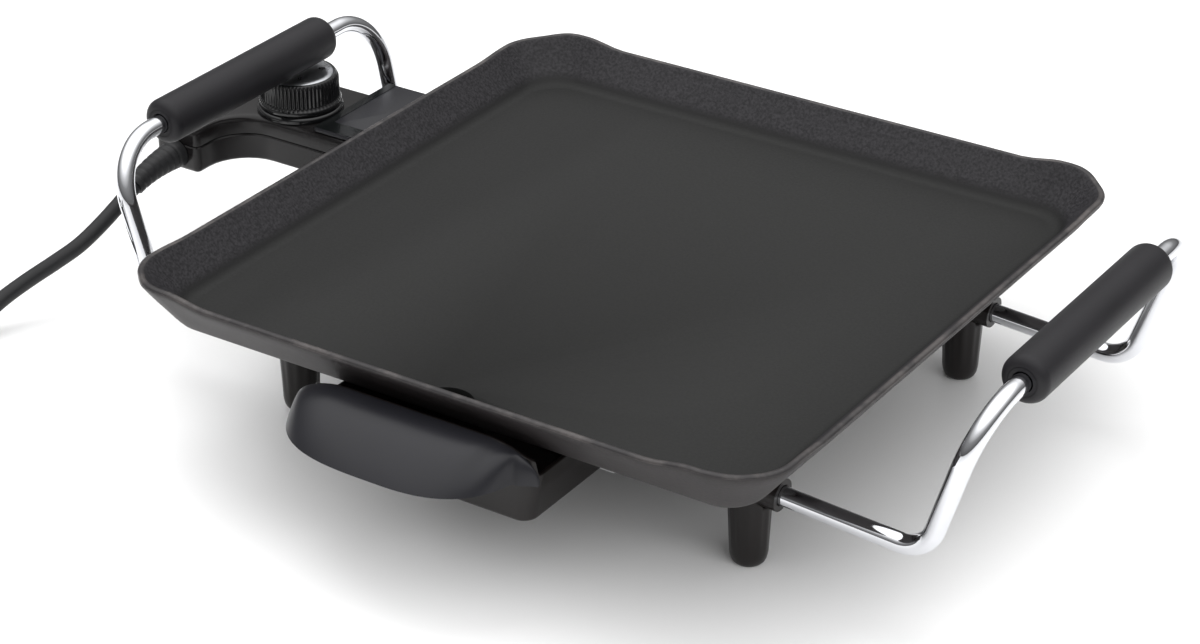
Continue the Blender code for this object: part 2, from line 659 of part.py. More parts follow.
def plug_contacts():
    """The insulating block that enters the guard, its two sleeves and the feeler rod."""
    low, high = nose_box()
    nose = block("contact_block", low, high, CERAMIC)
    bevel(nose, 0.0005, 1, 40)
    for name, side in (("contact_sleeve_front", -1), ("contact_sleeve_rear", 1)):
        y = PROBE_Y + side * PIN_PITCH / 2
        far = PLUG_NOSE_X - 0.0080
        cutter = rod(f"{name}_seat", (far - CLEAR, y, PIN_Z), (high[0] + 0.002, y, PIN_Z),
                     0.0030, sides=14)
        boolean(nose, cutter)
        sleeve = rod(name, (far, y, PIN_Z), (high[0] - 0.0020, y, PIN_Z), 0.0027, BRASS,
                     sides=14)
        bore = rod(f"{name}_bore", (far + 0.003, y, PIN_Z), (high[0] + 0.002, y, PIN_Z),
                   PIN_R + CLEAR, sides=12)
        boolean(sleeve, bore)
    seat = rod("probe_seat", (low[0] + 0.004, PROBE_Y, PIN_Z), (high[0] + 0.002, PROBE_Y, PIN_Z),
               PROBE_R + CLEAR, sides=14)
    boolean(nose, seat)
    probe = rod("temperature_probe", (low[0] + 0.0045, PROBE_Y, PIN_Z),
                (PROBE_TIP_X, PROBE_Y, PIN_Z), PROBE_R, STEEL, sides=16)
    bevel(probe, 0.0012, 2, 60)


def plug_inside():
    """The snap switch and the shaft that the dial turns it with."""
    block("thermostat_switch", (DIAL_X - 0.0130, DIAL_Y - 0.0100, PLUG_BOTTOM_Z + 0.0030),
          (DIAL_X + 0.0110, DIAL_Y + 0.0100, PLUG_SPLIT_Z - 0.0020), CERAMIC)
    shaft = rod("dial_shaft", (0, 0, PLUG_SPLIT_Z - 0.0017), (0, 0, DECK_Z + 0.0080), 0.0030,
                STEEL, sides=12)
    shaft.location = (DIAL_X, DIAL_Y, 0)


def head_plate():
    low = DECK_Z + CLEAR
    i = 0.0006
    corners = [(PLUG_NOSE_X - i, PLUG_FRONT_Y + i), (PLUG_NOSE_X - i, PLUG_REAR_Y - i),
               (PLUG_STEP_X + i, PLUG_REAR_Y - i), (PLUG_STEP_X + i, PLUG_FRONT_Y + i)]
    plate = prism("thermostat_head_plate", ring_of(corners, (0.002,) * 4, 3), low, PLATE_TOP_Z,
                  GREY_PLASTIC)
    bevel(plate, 0.0006, 1, 60)


def dial():
    place = (DIAL_X, DIAL_Y, 0)
    low = DECK_Z + CLEAR
    flange_top = DECK_Z + 0.0030
    profile = [(0.0042, flange_top), (DIAL_FLANGE_R - 0.0006, flange_top),
               (DIAL_FLANGE_R, flange_top - 0.0006), (DIAL_FLANGE_R, low), (0.0042, low),
               (0.0042, flange_top)]
    turned("dial_bezel", profile, place, GLOSS_BLACK, steps=32)
    knob_low = flange_top + CLEAR
    crown = DIAL_TOP_Z - 0.0012
    profile = [(0.0, crown - 0.0018), (DIAL_R - 0.0036, crown - 0.0018),
               (DIAL_R - 0.0036, crown), (DIAL_R - 0.0018, crown),
               (DIAL_R - 0.0006, crown - 0.0010), (DIAL_R - 0.0002, knob_low + 0.0030),
               (DIAL_R + 0.0008, knob_low + 0.0018), (DIAL_R + 0.0008, knob_low),
               (0.0033, knob_low), (0.0033, DECK_Z + 0.0080 + CLEAR),
               (0.0, DECK_Z + 0.0080 + CLEAR)]
    turned("temperature_dial", profile, place, GLOSS_BLACK, steps=36)
    cap_r = DIAL_R - 0.0036 - CLEAR
    profile = [(0.0, DIAL_TOP_Z), (cap_r * 0.55, DIAL_TOP_Z - 0.0003),
               (cap_r - 0.0010, DIAL_TOP_Z - 0.0011), (cap_r, crown - 0.0008),
               (cap_r, crown - 0.0018 + CLEAR), (0.0, crown - 0.0018 + CLEAR)]
    turned("dial_cap", profile, place, SILVER, steps=32)


# ---------------------------------------------------------------- mains cord
COIL_TURN_R = 0.0385
COIL_LOW_Z = 0.0012
COIL_WIDTH = 3 * 2 * CORD_R + 0.0012
COIL_HIGH_Z = COIL_LOW_Z + 2 * CORD_R * (1 + math.sin(math.radians(60))) + 0.0004
COIL_CENTRE = (-0.2603 - CORD_R - CLEAR - COIL_TURN_R - COIL_WIDTH / 2, -0.1730)
CORD_ROUTE = ((-0.2380, -0.0340, 0.0438), (-0.2382, -0.0450, 0.0390), (-0.2390, -0.0570, 0.0338),
              (-0.2415, -0.0680, 0.0284), (-0.2470, -0.0780, 0.0229), (-0.2530, -0.0890, 0.0174),
              (-0.2572, -0.1000, 0.0126), (-0.2592, -0.1120, 0.0082), (-0.2600, -0.1250, 0.0052),
              (-0.2603, -0.1390, 0.0040), (-0.2603, -0.1550, 0.0040), (-0.2603, -0.1730, 0.0040))


def smooth_path(points, per_span):
    """A Catmull-Rom curve through the route's own points."""
    pts = [Vector(p) for p in points]
    pts = [pts[0] * 2 - pts[1]] + pts + [pts[-1] * 2 - pts[-2]]
    path = []
    for a, b, c, d in zip(pts, pts[1:], pts[2:], pts[3:]):
        for k in range(per_span):
            t = k / per_span
            path.append(0.5 * (2 * b + (c - a) * t + (2 * a - 5 * b + 4 * c - d) * t * t
                               + (3 * b - a - 3 * c + d) * t ** 3))
    path.append(pts[-2])
    return path


def cord():
    """The tapered sleeve that bends down with the cord, and the cord down to its coil."""
    start = Vector((CORD_X, PLUG_END_Y - CLEAR, CORD_EXIT_Z))
    onward = (Vector(CORD_ROUTE[1]) - Vector(CORD_ROUTE[0])).normalized()
    end = Vector(CORD_ROUTE[0]) - onward * CLEAR
    outward = Vector((0, -1, 0))
    reach = (end - start).length * 0.34
    bend = [start, start + outward * reach, end - onward * reach, end]
    rings = []
    sides = 14
    for k in range(6):
        t = k / 5
        weights = ((1 - t) ** 3, 3 * t * (1 - t) ** 2, 3 * t * t * (1 - t), t ** 3)
        centre = sum((p * w for p, w in zip(bend, weights)), Vector())
        radius = 0.0066 - 0.0022 * t
        along = outward.lerp(onward, t).normalized()
        side = Vector((1, 0, 0))
        up = side.cross(along).normalized()
        rings.append([centre + side * radius * math.cos(2 * math.pi * n / sides)
                      + up * radius * math.sin(2 * math.pi * n / sides) for n in range(sides)])
    loft("strain_relief", rings, RUBBER, smooth=50)
    tube("mains_cord", smooth_path(CORD_ROUTE, 2), CORD_R, RUBBER, 2)


def cord_coil():
    inner = COIL_TURN_R - COIL_WIDTH / 2
    outer = COIL_TURN_R + COIL_WIDTH / 2
    low, high = COIL_LOW_Z, COIL_HIGH_Z
    soft = CORD_R
    profile = []
    for centre, start in (((outer - soft, high - soft), 90), ((outer - soft, low + soft), 0),
                          ((inner + soft, low + soft), -90), ((inner + soft, high - soft), -180)):
        for k in range(4):
            a = math.radians(start - 90 * k / 3)
            profile.append((centre[0] + soft * math.cos(a), centre[1] + soft * math.sin(a)))
    profile.append(profile[0])
    turned("cord_coil", profile, (*COIL_CENTRE, 0), RUBBER, steps=32)


def cord_tie():
    """A band round the coil's bundle at its front."""
    x, y = COIL_CENTRE[0], COIL_CENTRE[1] - COIL_TURN_R
    half = COIL_WIDTH / 2 + 0.0008
    wall = 0.0007
    tie = block("cord_tie", (x - 0.0040, y - half - wall, 0.0002),
                (x + 0.0040, y + half + wall, COIL_HIGH_Z + CLEAR + wall), RUBBER)
    inside = block("tie_cutter", (x - 0.0050, y - half, 0.0002 + wall),
                   (x + 0.0050, y + half, COIL_HIGH_Z + CLEAR))
    boolean(tie, inside)


def mains_plug():
    """A round two-pin plug lying on its side beside the coil, nose to the front."""
    radius = 0.0185
    x = COIL_CENTRE[0] + 0.0420
    face = COIL_CENTRE[1] - 0.1020
    lie = (math.radians(90), 0, 0)
    profile = [(0.0, 0.0), (radius - 0.0010, 0.0), (radius, -0.0010), (radius, -0.0150),
               (0.0130, -0.0185), (0.0110, -0.0300), (0.0065, -0.0420), (0.0, -0.0420)]
    turned("mains_plug", profile, (x, face, radius + 0.0002), RUBBER, 24, lie)
    for name, side in (("plug_pin_left", -1), ("plug_pin_right", 1)):
        rod(name, (x + side * 0.0095, face - CLEAR, radius + 0.0002),
            (x + side * 0.0095, face - 0.0190, radius + 0.0002), 0.0024, CHROME, sides=12)


cooking_plate()
heater_and_terminals()
for foot_x, foot_y in foot_places():
    foot(foot_x, foot_y)
handle("left", -1)
handle("right", 1)
drip_tray()
tray_handle()
tray_rails()
plug_shells()
plug_contacts()
plug_inside()
head_plate()
dial()
cord()
cord_coil()
cord_tie()
mains_plug()
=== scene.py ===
"""Electric griddle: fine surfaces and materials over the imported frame."""
import math

import bmesh
import bpy
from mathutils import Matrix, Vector


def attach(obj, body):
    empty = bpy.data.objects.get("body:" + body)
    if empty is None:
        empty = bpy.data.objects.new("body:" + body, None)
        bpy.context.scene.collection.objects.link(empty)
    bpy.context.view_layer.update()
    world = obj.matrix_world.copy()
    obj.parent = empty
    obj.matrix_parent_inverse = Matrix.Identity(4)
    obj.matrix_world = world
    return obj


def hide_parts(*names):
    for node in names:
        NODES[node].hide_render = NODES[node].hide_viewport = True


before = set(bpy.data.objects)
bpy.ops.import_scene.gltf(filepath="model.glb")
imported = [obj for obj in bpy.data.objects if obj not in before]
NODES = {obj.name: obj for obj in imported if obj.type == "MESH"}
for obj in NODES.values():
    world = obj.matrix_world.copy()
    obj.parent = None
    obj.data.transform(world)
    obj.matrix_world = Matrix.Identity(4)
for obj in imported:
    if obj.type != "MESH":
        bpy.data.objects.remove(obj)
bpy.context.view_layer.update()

# ------------------------------------------------------------------ sizes, as in the CAD
# Places are measured from the middle of the plate, which the frame has at SHIFT.
SHIFT = Vector((0.0195, 0.01565, 0.0))
CLEAR = 0.0003                  # gap kept between touching pieces

RIM_Z, BOTTOM_Z, FLOOR_Z = 0.0740, 0.0520, 0.0575
WIDTH_SCALE = 0.992             # the plate is a little narrower than it is deep
WIDTH_SHIFT = -0.0012
RIM_LIFT = 0.0026               # how far the rim rises beside each corner, front and back
SIDE_LIFT = 0.0010              # and at the left and right sides
EAR_START, EAR_RAMP = 0.101, 0.020      # where that rise starts, and the length it takes
CORNER_BLEND = 0.022            # the width over which the one lift turns into the other
CORNER_ROUNDING = 1.65          # on the radii in the plate's tables of corners
PROBE_BORE_R = 0.0033
DRAIN_Y, DRAIN_R = -0.1325, 0.0115
DRAIN_FLAT_Y = -0.1292          # the drain's straight side, just inside the front wall

FOOT_X, FOOT_Y = 0.1070, 0.0860
FOOT_PLACES = [(side * FOOT_X, end * FOOT_Y) for side in (-1, 1) for end in (-1, 1)]
FOOT_TOP_R, FOOT_TIP_R = 0.0091, 0.00755
FOOT_BORE_R = 0.0033
SCREW_HOLE_R = 0.0022

WIRE_R = 0.0040
WIRE_START_X, WIRE_KNEE_X = 0.1135, 0.1816
WIRE_START_Z = 0.0342           # at the middle of a leg; it falls evenly to the knee
WIRE_FALL = 0.0049
WIRE_TOP_Y = (-0.0865, 0.0930)
GRIP = Vector((0.2008, 0.0, 0.0920))
GRIP_R, GRIP_HALF = 0.0098, 0.0555

TRAY_FRONT, TRAY_BACK = -0.1490, -0.0560
TRAY_HALF = 0.0520
TRAY_DRAFT = 0.0025
TRAY_BOTTOM_Z, TRAY_TOP_Z = 0.0280, 0.0485
TRAY_WALL = 0.0018
LIP_EDGE_Z, LIP_TOP_Z = 0.0475, 0.0612
LIP_END_Z = 0.0487              # the fascia's upper edge at its two ends
LIP_REACH, LIP_HALF = 0.0320, 0.0548
LIP_SKIN = 0.0024
LIP_LEVEL = (0.0330, 0.0300)    # how far the upper edge stays level to the left and right
LIP_END_FALL = 0.0248           # the length over which it then rounds off
VISOR_LEFT, VISOR_RIGHT = 0.0555, 0.0455
CREASE_X = 0.0370
RAIL_X = 0.0600
RAIL_SCREWS = [(side * RAIL_X, y) for side in (-1, 1) for y in (-0.088, -0.064)]

PROBE_Y, PIN_Z = 0.0500, 0.0462
PIN_PITCH = 0.0260
HEATER_R = 0.0032
PLUG_BOTTOM, PLUG_SPLIT, DECK, PLATE_TOP = 0.0408, 0.0535, 0.0622, 0.0643
PLUG_NOSE_X = -0.1475           # inner face of the plug's head
PLUG_STEP_X = -0.1835           # outer edge of the head plate
PLUG_HANDLE_X, PLUG_OUTER_X = -0.2256, -0.2496
PLUG_END_Y, PLUG_FRONT_Y, PLUG_DECK_Y, PLUG_REAR_Y = -0.0050, 0.0225, 0.0700, 0.0800
SHELL_SCREWS = ((-0.1620, 0.0720), (-0.2376, 0.0140))
DIAL = Vector((-0.2030, 0.0405, 0.0))
DIAL_FLANGE_R, DIAL_R = 0.0193, 0.0178
DIAL_TOP = 0.0808

CORD_R = 0.0035
CORD_EXIT = Vector((-0.2376, -0.0053, 0.0488))
COIL_R = 0.0385                 # the coil's middle turn
COIL_PITCH = 0.0072
COIL_LOW, COIL_HIGH = 0.0048, 0.0109
COIL_TURNS = 5
COIL_EDGE = 0.0111              # from the middle turn to the outside of the coil
PLUG_AXIS_Z = 0.0187

# The names that go with FOOT_PLACES and RAIL_SCREWS, in the same order.
CORNER_NAMES = [f"{side}_{end}" for side in ("left", "right") for end in ("front", "rear")]


def ease(t):
    """Rises smoothly from 0 to 1 as t does."""
    t = min(max(t, 0.0), 1.0)
    return t * t * (3 - 2 * t)


# ------------------------------------------------------------------ materials
class Nodes:
    """A small helper that wires up one material."""

    def __init__(self, name):
        self.mat = bpy.data.materials.new(name)
        self.mat.use_nodes = True
        self.tree = self.mat.node_tree
        self.shader = self.tree.nodes["Principled BSDF"]
        self.coord = self.tree.nodes.new("ShaderNodeTexCoord").outputs["Object"]

    def link(self, a, b):
        self.tree.links.new(a, b)

    def noise(self, scale, detail=3.0, rough=0.55, stretch=None):
        vector = self.coord
        if stretch:
            spread = self.tree.nodes.new("ShaderNodeMapping")
            spread.inputs["Scale"].default_value = stretch
            self.link(vector, spread.inputs["Vector"])
            vector = spread.outputs["Vector"]
        node = self.tree.nodes.new("ShaderNodeTexNoise")
        node.inputs["Scale"].default_value = scale
        node.inputs["Detail"].default_value = detail
        node.inputs["Roughness"].default_value = rough
        self.link(vector, node.inputs["Vector"])
        return node.outputs["Fac"]

    def spread(self, value, low, high, from_low=0.3, from_high=0.7):
        node = self.tree.nodes.new("ShaderNodeMapRange")
        node.inputs["From Min"].default_value = from_low
        node.inputs["From Max"].default_value = from_high
        node.inputs["To Min"].default_value = low
        node.inputs["To Max"].default_value = high
        self.link(value, node.inputs["Value"])
        return node.outputs["Result"]

    def tone(self, value, dark, light, from_low=0.3, from_high=0.7):
        node = self.tree.nodes.new("ShaderNodeValToRGB")
        node.color_ramp.elements[0].position = from_low
        node.color_ramp.elements[0].color = (*dark, 1)
        node.color_ramp.elements[1].position = from_high
        node.color_ramp.elements[1].color = (*light, 1)
        self.link(value, node.inputs["Fac"])
        return node.outputs["Color"]

    def maths(self, kind, a, b):
        node = self.tree.nodes.new("ShaderNodeMath")
        node.operation = kind
        for slot, value in zip(node.inputs, (a, b)):
            if isinstance(value, (int, float)):
                slot.default_value = value
            else:
                self.link(value, slot)
        return node.outputs["Value"]

    def mix(self, factor, a, b):
        node = self.tree.nodes.new("ShaderNodeMix")
        node.data_type = "RGBA"
        self.link(factor, node.inputs["Factor"])
        for slot, value in zip((node.inputs["A"], node.inputs["B"]), (a, b)):
            if isinstance(value, tuple):
                slot.default_value = (*value, 1)
            else:
                self.link(value, slot)
        return node.outputs["Result"]

    def height(self):
        """The height above the table, in metres."""
        split = self.tree.nodes.new("ShaderNodeSeparateXYZ")
        self.link(self.coord, split.inputs["Vector"])
        return split.outputs["Z"]

    def bump(self, value, distance, strength=1.0, after=None):
        node = self.tree.nodes.new("ShaderNodeBump")
        node.inputs["Distance"].default_value = distance
        if isinstance(strength, float):
            node.inputs["Strength"].default_value = strength
        else:
            self.link(strength, node.inputs["Strength"])
        self.link(value, node.inputs["Height"])
        if after:
            self.link(after, node.inputs["Normal"])
        return node.outputs["Normal"]

    def set(self, **values):
        for name, value in values.items():
            slot = self.shader.inputs[name.replace("_", " ")]
            if isinstance(value, (int, float)):
                slot.default_value = value
            elif isinstance(value, tuple):
                slot.default_value = (*value, 1) if len(value) == 3 else value
            else:
                self.link(value, slot)
        return self.mat


def coating():
    """Cast plate with a baked coating: fine and even on the floor, pebbled on the walls, with painted shade
    at the foot of the walls.
    """
    n = Nodes("coating")
    z = n.height()
    wall = n.spread(z, 0.0, 1.0, FLOOR_Z + 0.0006, FLOOR_Z + 0.0040)
    pebble = n.noise(820, 2.0, 0.5)
    fine = n.noise(2600, 2.0, 0.5)
    cloud = n.noise(9, 4.0, 0.6)
    floor = n.tone(cloud, (0.0070, 0.0071, 0.0069), (0.0100, 0.0101, 0.0098), 0.3, 0.7)
    side = n.tone(pebble, (0.0095, 0.0090, 0.0104), (0.0290, 0.0275, 0.0305), 0.34, 0.68)
    # Painted shade: the walls darken towards their foot, where they meet the cooking surface.
    fillet = n.spread(z, 0.0, 1.0, FLOOR_Z + 0.0020, FLOOR_Z + 0.0055)
    side = n.mix(fillet, (0.0045, 0.0042, 0.0046), side)
    colour = n.mix(wall, floor, side)
    first = n.bump(fine, 0.00004, 0.5)
    strength = n.spread(wall, 0.12, 0.75, 0.0, 1.0)
    normal = n.bump(pebble, 0.00014, strength, first)
    rough = n.maths("ADD", n.spread(cloud, 0.50, 0.58), n.spread(pebble, -0.03, 0.05))
    return n.set(Base_Color=colour, Roughness=rough, Normal=normal, Specular_IOR_Level=0.30)


def underside():
    """The plate's outer wall: the same casting, browner and duller."""
    n = Nodes("outer_wall")
    pebble = n.noise(700, 3.0, 0.55)
    cloud = n.noise(14, 4.0, 0.6)
    shade = n.tone(pebble, (0.0130, 0.0108, 0.0112), (0.0270, 0.0225, 0.0232))
    colour = n.mix(n.spread(cloud, 0.0, 0.5), shade, (0.0180, 0.0155, 0.0160))
    normal = n.bump(pebble, 0.00015, 0.6)
    return n.set(Base_Color=colour, Roughness=n.spread(cloud, 0.42, 0.56), Normal=normal,
                 Specular_IOR_Level=0.38)


def rim_edge():
    """The rim's land, rubbed lighter and smoother in places; the lighter colour is partly wear and partly a
    painted highlight.
    """
    n = Nodes("rim_edge")
    wear_and_highlight = n.noise(60, 5.0, 0.7)
    grain = n.noise(1800, 2.0, 0.5)
    # Lighter patches: partly rubbed wear, partly a painted highlight along the rim.
    colour = n.tone(wear_and_highlight, (0.018, 0.016, 0.017), (0.085, 0.075, 0.072), 0.44, 0.78)
    return n.set(Base_Color=colour, Roughness=n.spread(wear_and_highlight, 0.46, 0.30),
                 Normal=n.bump(grain, 0.00003, 0.5))


def plastic(name, dark, light, rough, grain=2200, depth=0.00003, blotch=30, strength=0.5, coat=0.0,
            specular=0.36):
    n = Nodes(name)
    cloud = n.noise(blotch, 4.0, 0.6)
    fine = n.noise(grain, 3.0, 0.6)
    colour = n.tone(cloud, dark, light)
    n.shader.inputs["Coat Weight"].default_value = coat
    n.shader.inputs["Coat Roughness"].default_value = 0.12
    spread = n.maths("ADD", n.spread(cloud, rough - 0.03, rough + 0.03), n.spread(fine, -0.02, 0.02))
    return n.set(Base_Color=colour, Roughness=spread, Normal=n.bump(fine, depth, strength),
                 Specular_IOR_Level=specular)


def metal(name, dark, light, rough, stretch=None, scale=400, depth=0.00002, strength=0.4):
    n = Nodes(name)
    cloud = n.noise(25, 4.0, 0.6)
    grain = n.noise(scale, 3.0, 0.6, stretch)
    colour = n.tone(cloud, dark, light)
    spread = n.maths("ADD", n.spread(cloud, rough * 0.8, rough * 1.25), n.spread(grain, -0.02, 0.03))
    return n.set(Base_Color=colour, Metallic=1.0, Roughness=spread, Normal=n.bump(grain, depth, strength))


COAT = coating()
OUTER = underside()
RIM = rim_edge()
BAKELITE = plastic("bakelite", (0.0060, 0.0045, 0.0042), (0.0100, 0.0078, 0.0074), 0.34, 1500, 0.00004, 45)
SHELL = plastic("thermostat_shell", (0.0070, 0.0062, 0.0064), (0.0105, 0.0095, 0.0098), 0.25, 2400, 0.00003)
PANEL = plastic("fascia_grey", (0.0098, 0.0098, 0.0124), (0.0135, 0.0135, 0.0166), 0.33, 2600, 0.00003, 18)
GLOSS = plastic("gloss_black", (0.0040, 0.0040, 0.0044), (0.0065, 0.0065, 0.0070), 0.13, 900, 0.00001,
                30, 0.3, 0.3, 0.45)
GRIPS = plastic("grip_plastic", (0.0075, 0.0070, 0.0086), (0.0110, 0.0102, 0.0124), 0.50, 1700, 0.00006,
                28, 0.7)
INLAY = plastic("black_inlay", (0.0020, 0.0026, 0.0028), (0.0032, 0.0040, 0.0042), 0.20, 900, 0.00001,
                specular=0.16)
CHROME = metal("chrome_plate", (0.76, 0.77, 0.80), (0.84, 0.85, 0.88), 0.045, None, 90, 0.00002, 0.15)
ZINC = metal("zinc_plated_steel", (0.42, 0.42, 0.43), (0.60, 0.60, 0.60), 0.30, (1, 0.05, 1), 900)
HEATER = metal("heater_sheath", (0.12, 0.11, 0.10), (0.26, 0.24, 0.22), 0.42, None, 700, 0.00004)
BRASS = metal("brass_sleeve", (0.52, 0.36, 0.13), (0.66, 0.48, 0.20), 0.28)
PROBE = metal("probe_steel", (0.50, 0.50, 0.51), (0.64, 0.64, 0.65), 0.22, (0.05, 1, 1), 900)
CERAMIC = plastic("ceramic_block", (0.60, 0.57, 0.51), (0.72, 0.70, 0.65), 0.48, 1300, 0.00005, 60)
SILVER = metal("silver_disc", (0.50, 0.51, 0.53), (0.62, 0.63, 0.65), 0.30, None, 1500)
RUBBER = plastic("cord_sheath", (0.0110, 0.0110, 0.0120), (0.0170, 0.0170, 0.0180), 0.46, 1900, 0.00004, 50)


# ------------------------------------------------------------------ making pieces
def piece(name, data, mat, body, nodes=(), smooth=35, at=(0, 0, 0)):
    """A new visible piece, placed about the plate's middle: it rides, replaces and takes a slot."""
    obj = bpy.data.objects.new(name, data)
    bpy.context.scene.collection.objects.link(obj)
    obj.location = SHIFT + Vector(at)
    if not data.materials:
        data.materials.append(mat)
    if isinstance(data, bpy.types.Mesh):
        data.shade_smooth()
        data.set_sharp_from_angle(angle=math.radians(smooth))
    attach(obj, body)
    if nodes:
        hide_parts(*nodes)
    return obj


def mesh_of(bm):
    bmesh.ops.recalc_face_normals(bm, faces=bm.faces)
    data = bpy.data.meshes.new("mesh")
    bm.to_mesh(data)
    bm.free()
    return data


def circle(r, z, sides, ribs=0, depth=0.0):
    """A level ring of points round the upright axis, with notches of that depth between ribs."""
    ring = []
    for k in range(sides):
        a = 2 * math.pi * k / sides
        here = r - depth * (0.5 - 0.5 * math.cos(ribs * a))
        ring.append((here * math.cos(a), here * math.sin(a), z))
    return ring


def loft(rings, bottom=True, top=True, closed=False):
    """A body through rings with equal numbers of points; closed joins the last to the first."""
    bm = bmesh.new()
    layers = [[bm.verts.new(p) for p in ring] for ring in rings]
    count = len(rings[0])
    pairs = list(zip(layers, layers[1:]))
    if closed:
        pairs.append((layers[-1], layers[0]))
    for low, high in pairs:
        for i in range(count):
            j = (i + 1) % count
            bm.faces.new((low[i], low[j], high[j], high[i]))
    if bottom and not closed:
        bm.faces.new(layers[0])
    if top and not closed:
        bm.faces.new(layers[-1])
    return mesh_of(bm)


def turned(profile, sides=64, ribs=0, depth=0.0, ribbed=(0, 0)):
    """(radius, height) pairs spun round the upright axis; ribs notch the levels in ribbed."""
    first, last = ribbed
    return loft([circle(r, z, sides, ribs if first <= level <= last else 0, depth)
                 for level, (r, z) in enumerate(profile)])


def rod(start, end, radius, sides=24):
    """A round bar between two points."""
    start, end = Vector(start), Vector(end)
    along = end - start
    bm = bmesh.new()
    bmesh.ops.create_cone(bm, cap_ends=True, segments=sides, radius1=radius, radius2=radius,
                          depth=along.length)
    turn = along.to_track_quat("Z", "Y").to_matrix()
    bmesh.ops.rotate(bm, cent=(0, 0, 0), matrix=turn, verts=bm.verts)
    bmesh.ops.translate(bm, vec=(start + end) / 2, verts=bm.verts)
    return mesh_of(bm)


def block(low, high):
    """A box between its lowest and highest corners."""
    bm = bmesh.new()
    bmesh.ops.create_cube(bm, size=1.0)
    bmesh.ops.scale(bm, vec=Vector(high) - Vector(low), verts=bm.verts)
    bmesh.ops.translate(bm, vec=(Vector(low) + Vector(high)) / 2, verts=bm.verts)
    return mesh_of(bm)


def cut(obj, data, operation="DIFFERENCE"):
    """Cuts a mesh out of a piece, or joins it on; the mesh is placed about the piece's origin."""
    tool = bpy.data.objects.new("cutter", data)
    bpy.context.scene.collection.objects.link(tool)
    tool.location = obj.location
    tool.hide_render = True
    mod = obj.modifiers.new("cut", "BOOLEAN")
    mod.operation = operation
    mod.object = tool
    mod.solver = "EXACT"


def bevel(obj, width, segments=3, angle=35, harden=True):
    mod = obj.modifiers.new("bevel", "BEVEL")
    mod.width = width
    mod.segments = segments
    mod.limit_method = "ANGLE"
    mod.angle_limit = math.radians(angle)
    mod.harden_normals = harden
    mod.miter_outer = "MITER_ARC"


def bake(obj):
    """Applies a piece's modifiers and removes its cutters."""
    bpy.context.view_layer.update()
    ready = obj.evaluated_get(bpy.context.evaluated_depsgraph_get())
    data = bpy.data.meshes.new_from_object(ready)
    cutters = [m.object for m in obj.modifiers if m.type == "BOOLEAN"]
    obj.modifiers.clear()
    obj.data = data
    for c in cutters:
        bpy.data.objects.remove(c)


def filleted(corners, radii, steps=10):
    """A path through the corners, each rounded to its radius; the two end points stay."""
    corners = [Vector(p) for p in corners]
    path = [corners[0]]
    for before, here, after, radius in zip(corners, corners[1:], corners[2:], radii):
        a = (before - here).normalized()
        b = (after - here).normalized()
        half = a.angle(b) / 2
        centre = here + (a + b).normalized() * radius / math.sin(half)
        start = here + a * radius / math.tan(half) - centre
        end = here + b * radius / math.tan(half) - centre
        sweep = math.pi - 2 * half
        for k in range(steps + 1):
            t = k / steps
            path.append(centre + (start * math.sin((1 - t) * sweep) + end * math.sin(t * sweep))
                        / math.sin(sweep))
    path.append(corners[-1])
    return path


def ring_of(corners, radii, steps=8):
    """A closed flat outline, each of its corners rounded to its radius."""
    count = len(corners)
    outline = []
    for i, radius in enumerate(radii):
        three = [(*corners[(i + k) % count], 0.0) for k in (-1, 0, 1)]
        arc = filleted(three, [radius], steps)[1:-1] if radius else [Vector(three[1])]
        outline += [(p.x, p.y) for p in arc]
    return outline


def curve_tube(points, radius, resolution=6):
    """A round tube along a path, as a curve with filled ends."""
    data = bpy.data.curves.new("tube", "CURVE")
    data.dimensions = "3D"
    data.bevel_depth = radius
    data.bevel_resolution = resolution
    data.use_fill_caps = True
    spline = data.splines.new("POLY")
    spline.points.add(len(points) - 1)
    for slot, p in zip(spline.points, points):
        slot.co = (*p, 1.0)
    spline.use_smooth = True
    return data


def sweep(points, radius, sides=20):
    """A closed tube mesh along a path; the rings carry their roll on from one to the next."""
    points = [Vector(p) for p in points]
    side = None
    rings = []
    for k, p in enumerate(points):
        along = (points[min(k + 1, len(points) - 1)] - points[max(k - 1, 0)]).normalized()
        side = along.orthogonal() if side is None else side - along * side.dot(along)
        side.normalize()
        up = along.cross(side)
        rings.append([p + (side * math.cos(2 * math.pi * n / sides)
                           + up * math.sin(2 * math.pi * n / sides)) * radius for n in range(sides)])
    return loft(rings)


def screw(name, x, y, head_z, body, node, radius=0.0030):
    """A cross-head screw whose domed head faces down at head_z."""
    profile = [(0.0004, head_z - 0.0021), (radius * 0.55, head_z - 0.0019),
               (radius * 0.86, head_z - 0.0013), (radius, head_z - 0.0004), (radius, head_z)]
    obj = piece(name, turned(profile, 32), ZINC, body, [node], at=(x, y, 0))
    long, short = radius * 0.62, radius * 0.14
    for w, d in ((long, short), (short, long)):
        cut(obj, block((-w, -d, head_z - 0.003), (w, d, head_z - 0.0012)))
    bake(obj)


# ------------------------------------------------------------------ cooking plate
def rim_rise(x, y):
    """How far the rim is lifted at one of its points."""
    near = ease((min(abs(x), abs(y)) - EAR_START) / EAR_RAMP)
    front = ease((abs(y) - abs(x) + CORNER_BLEND) / (2 * CORNER_BLEND))
    return near * (SIDE_LIFT + (RIM_LIFT - SIDE_LIFT) * front ** 3)


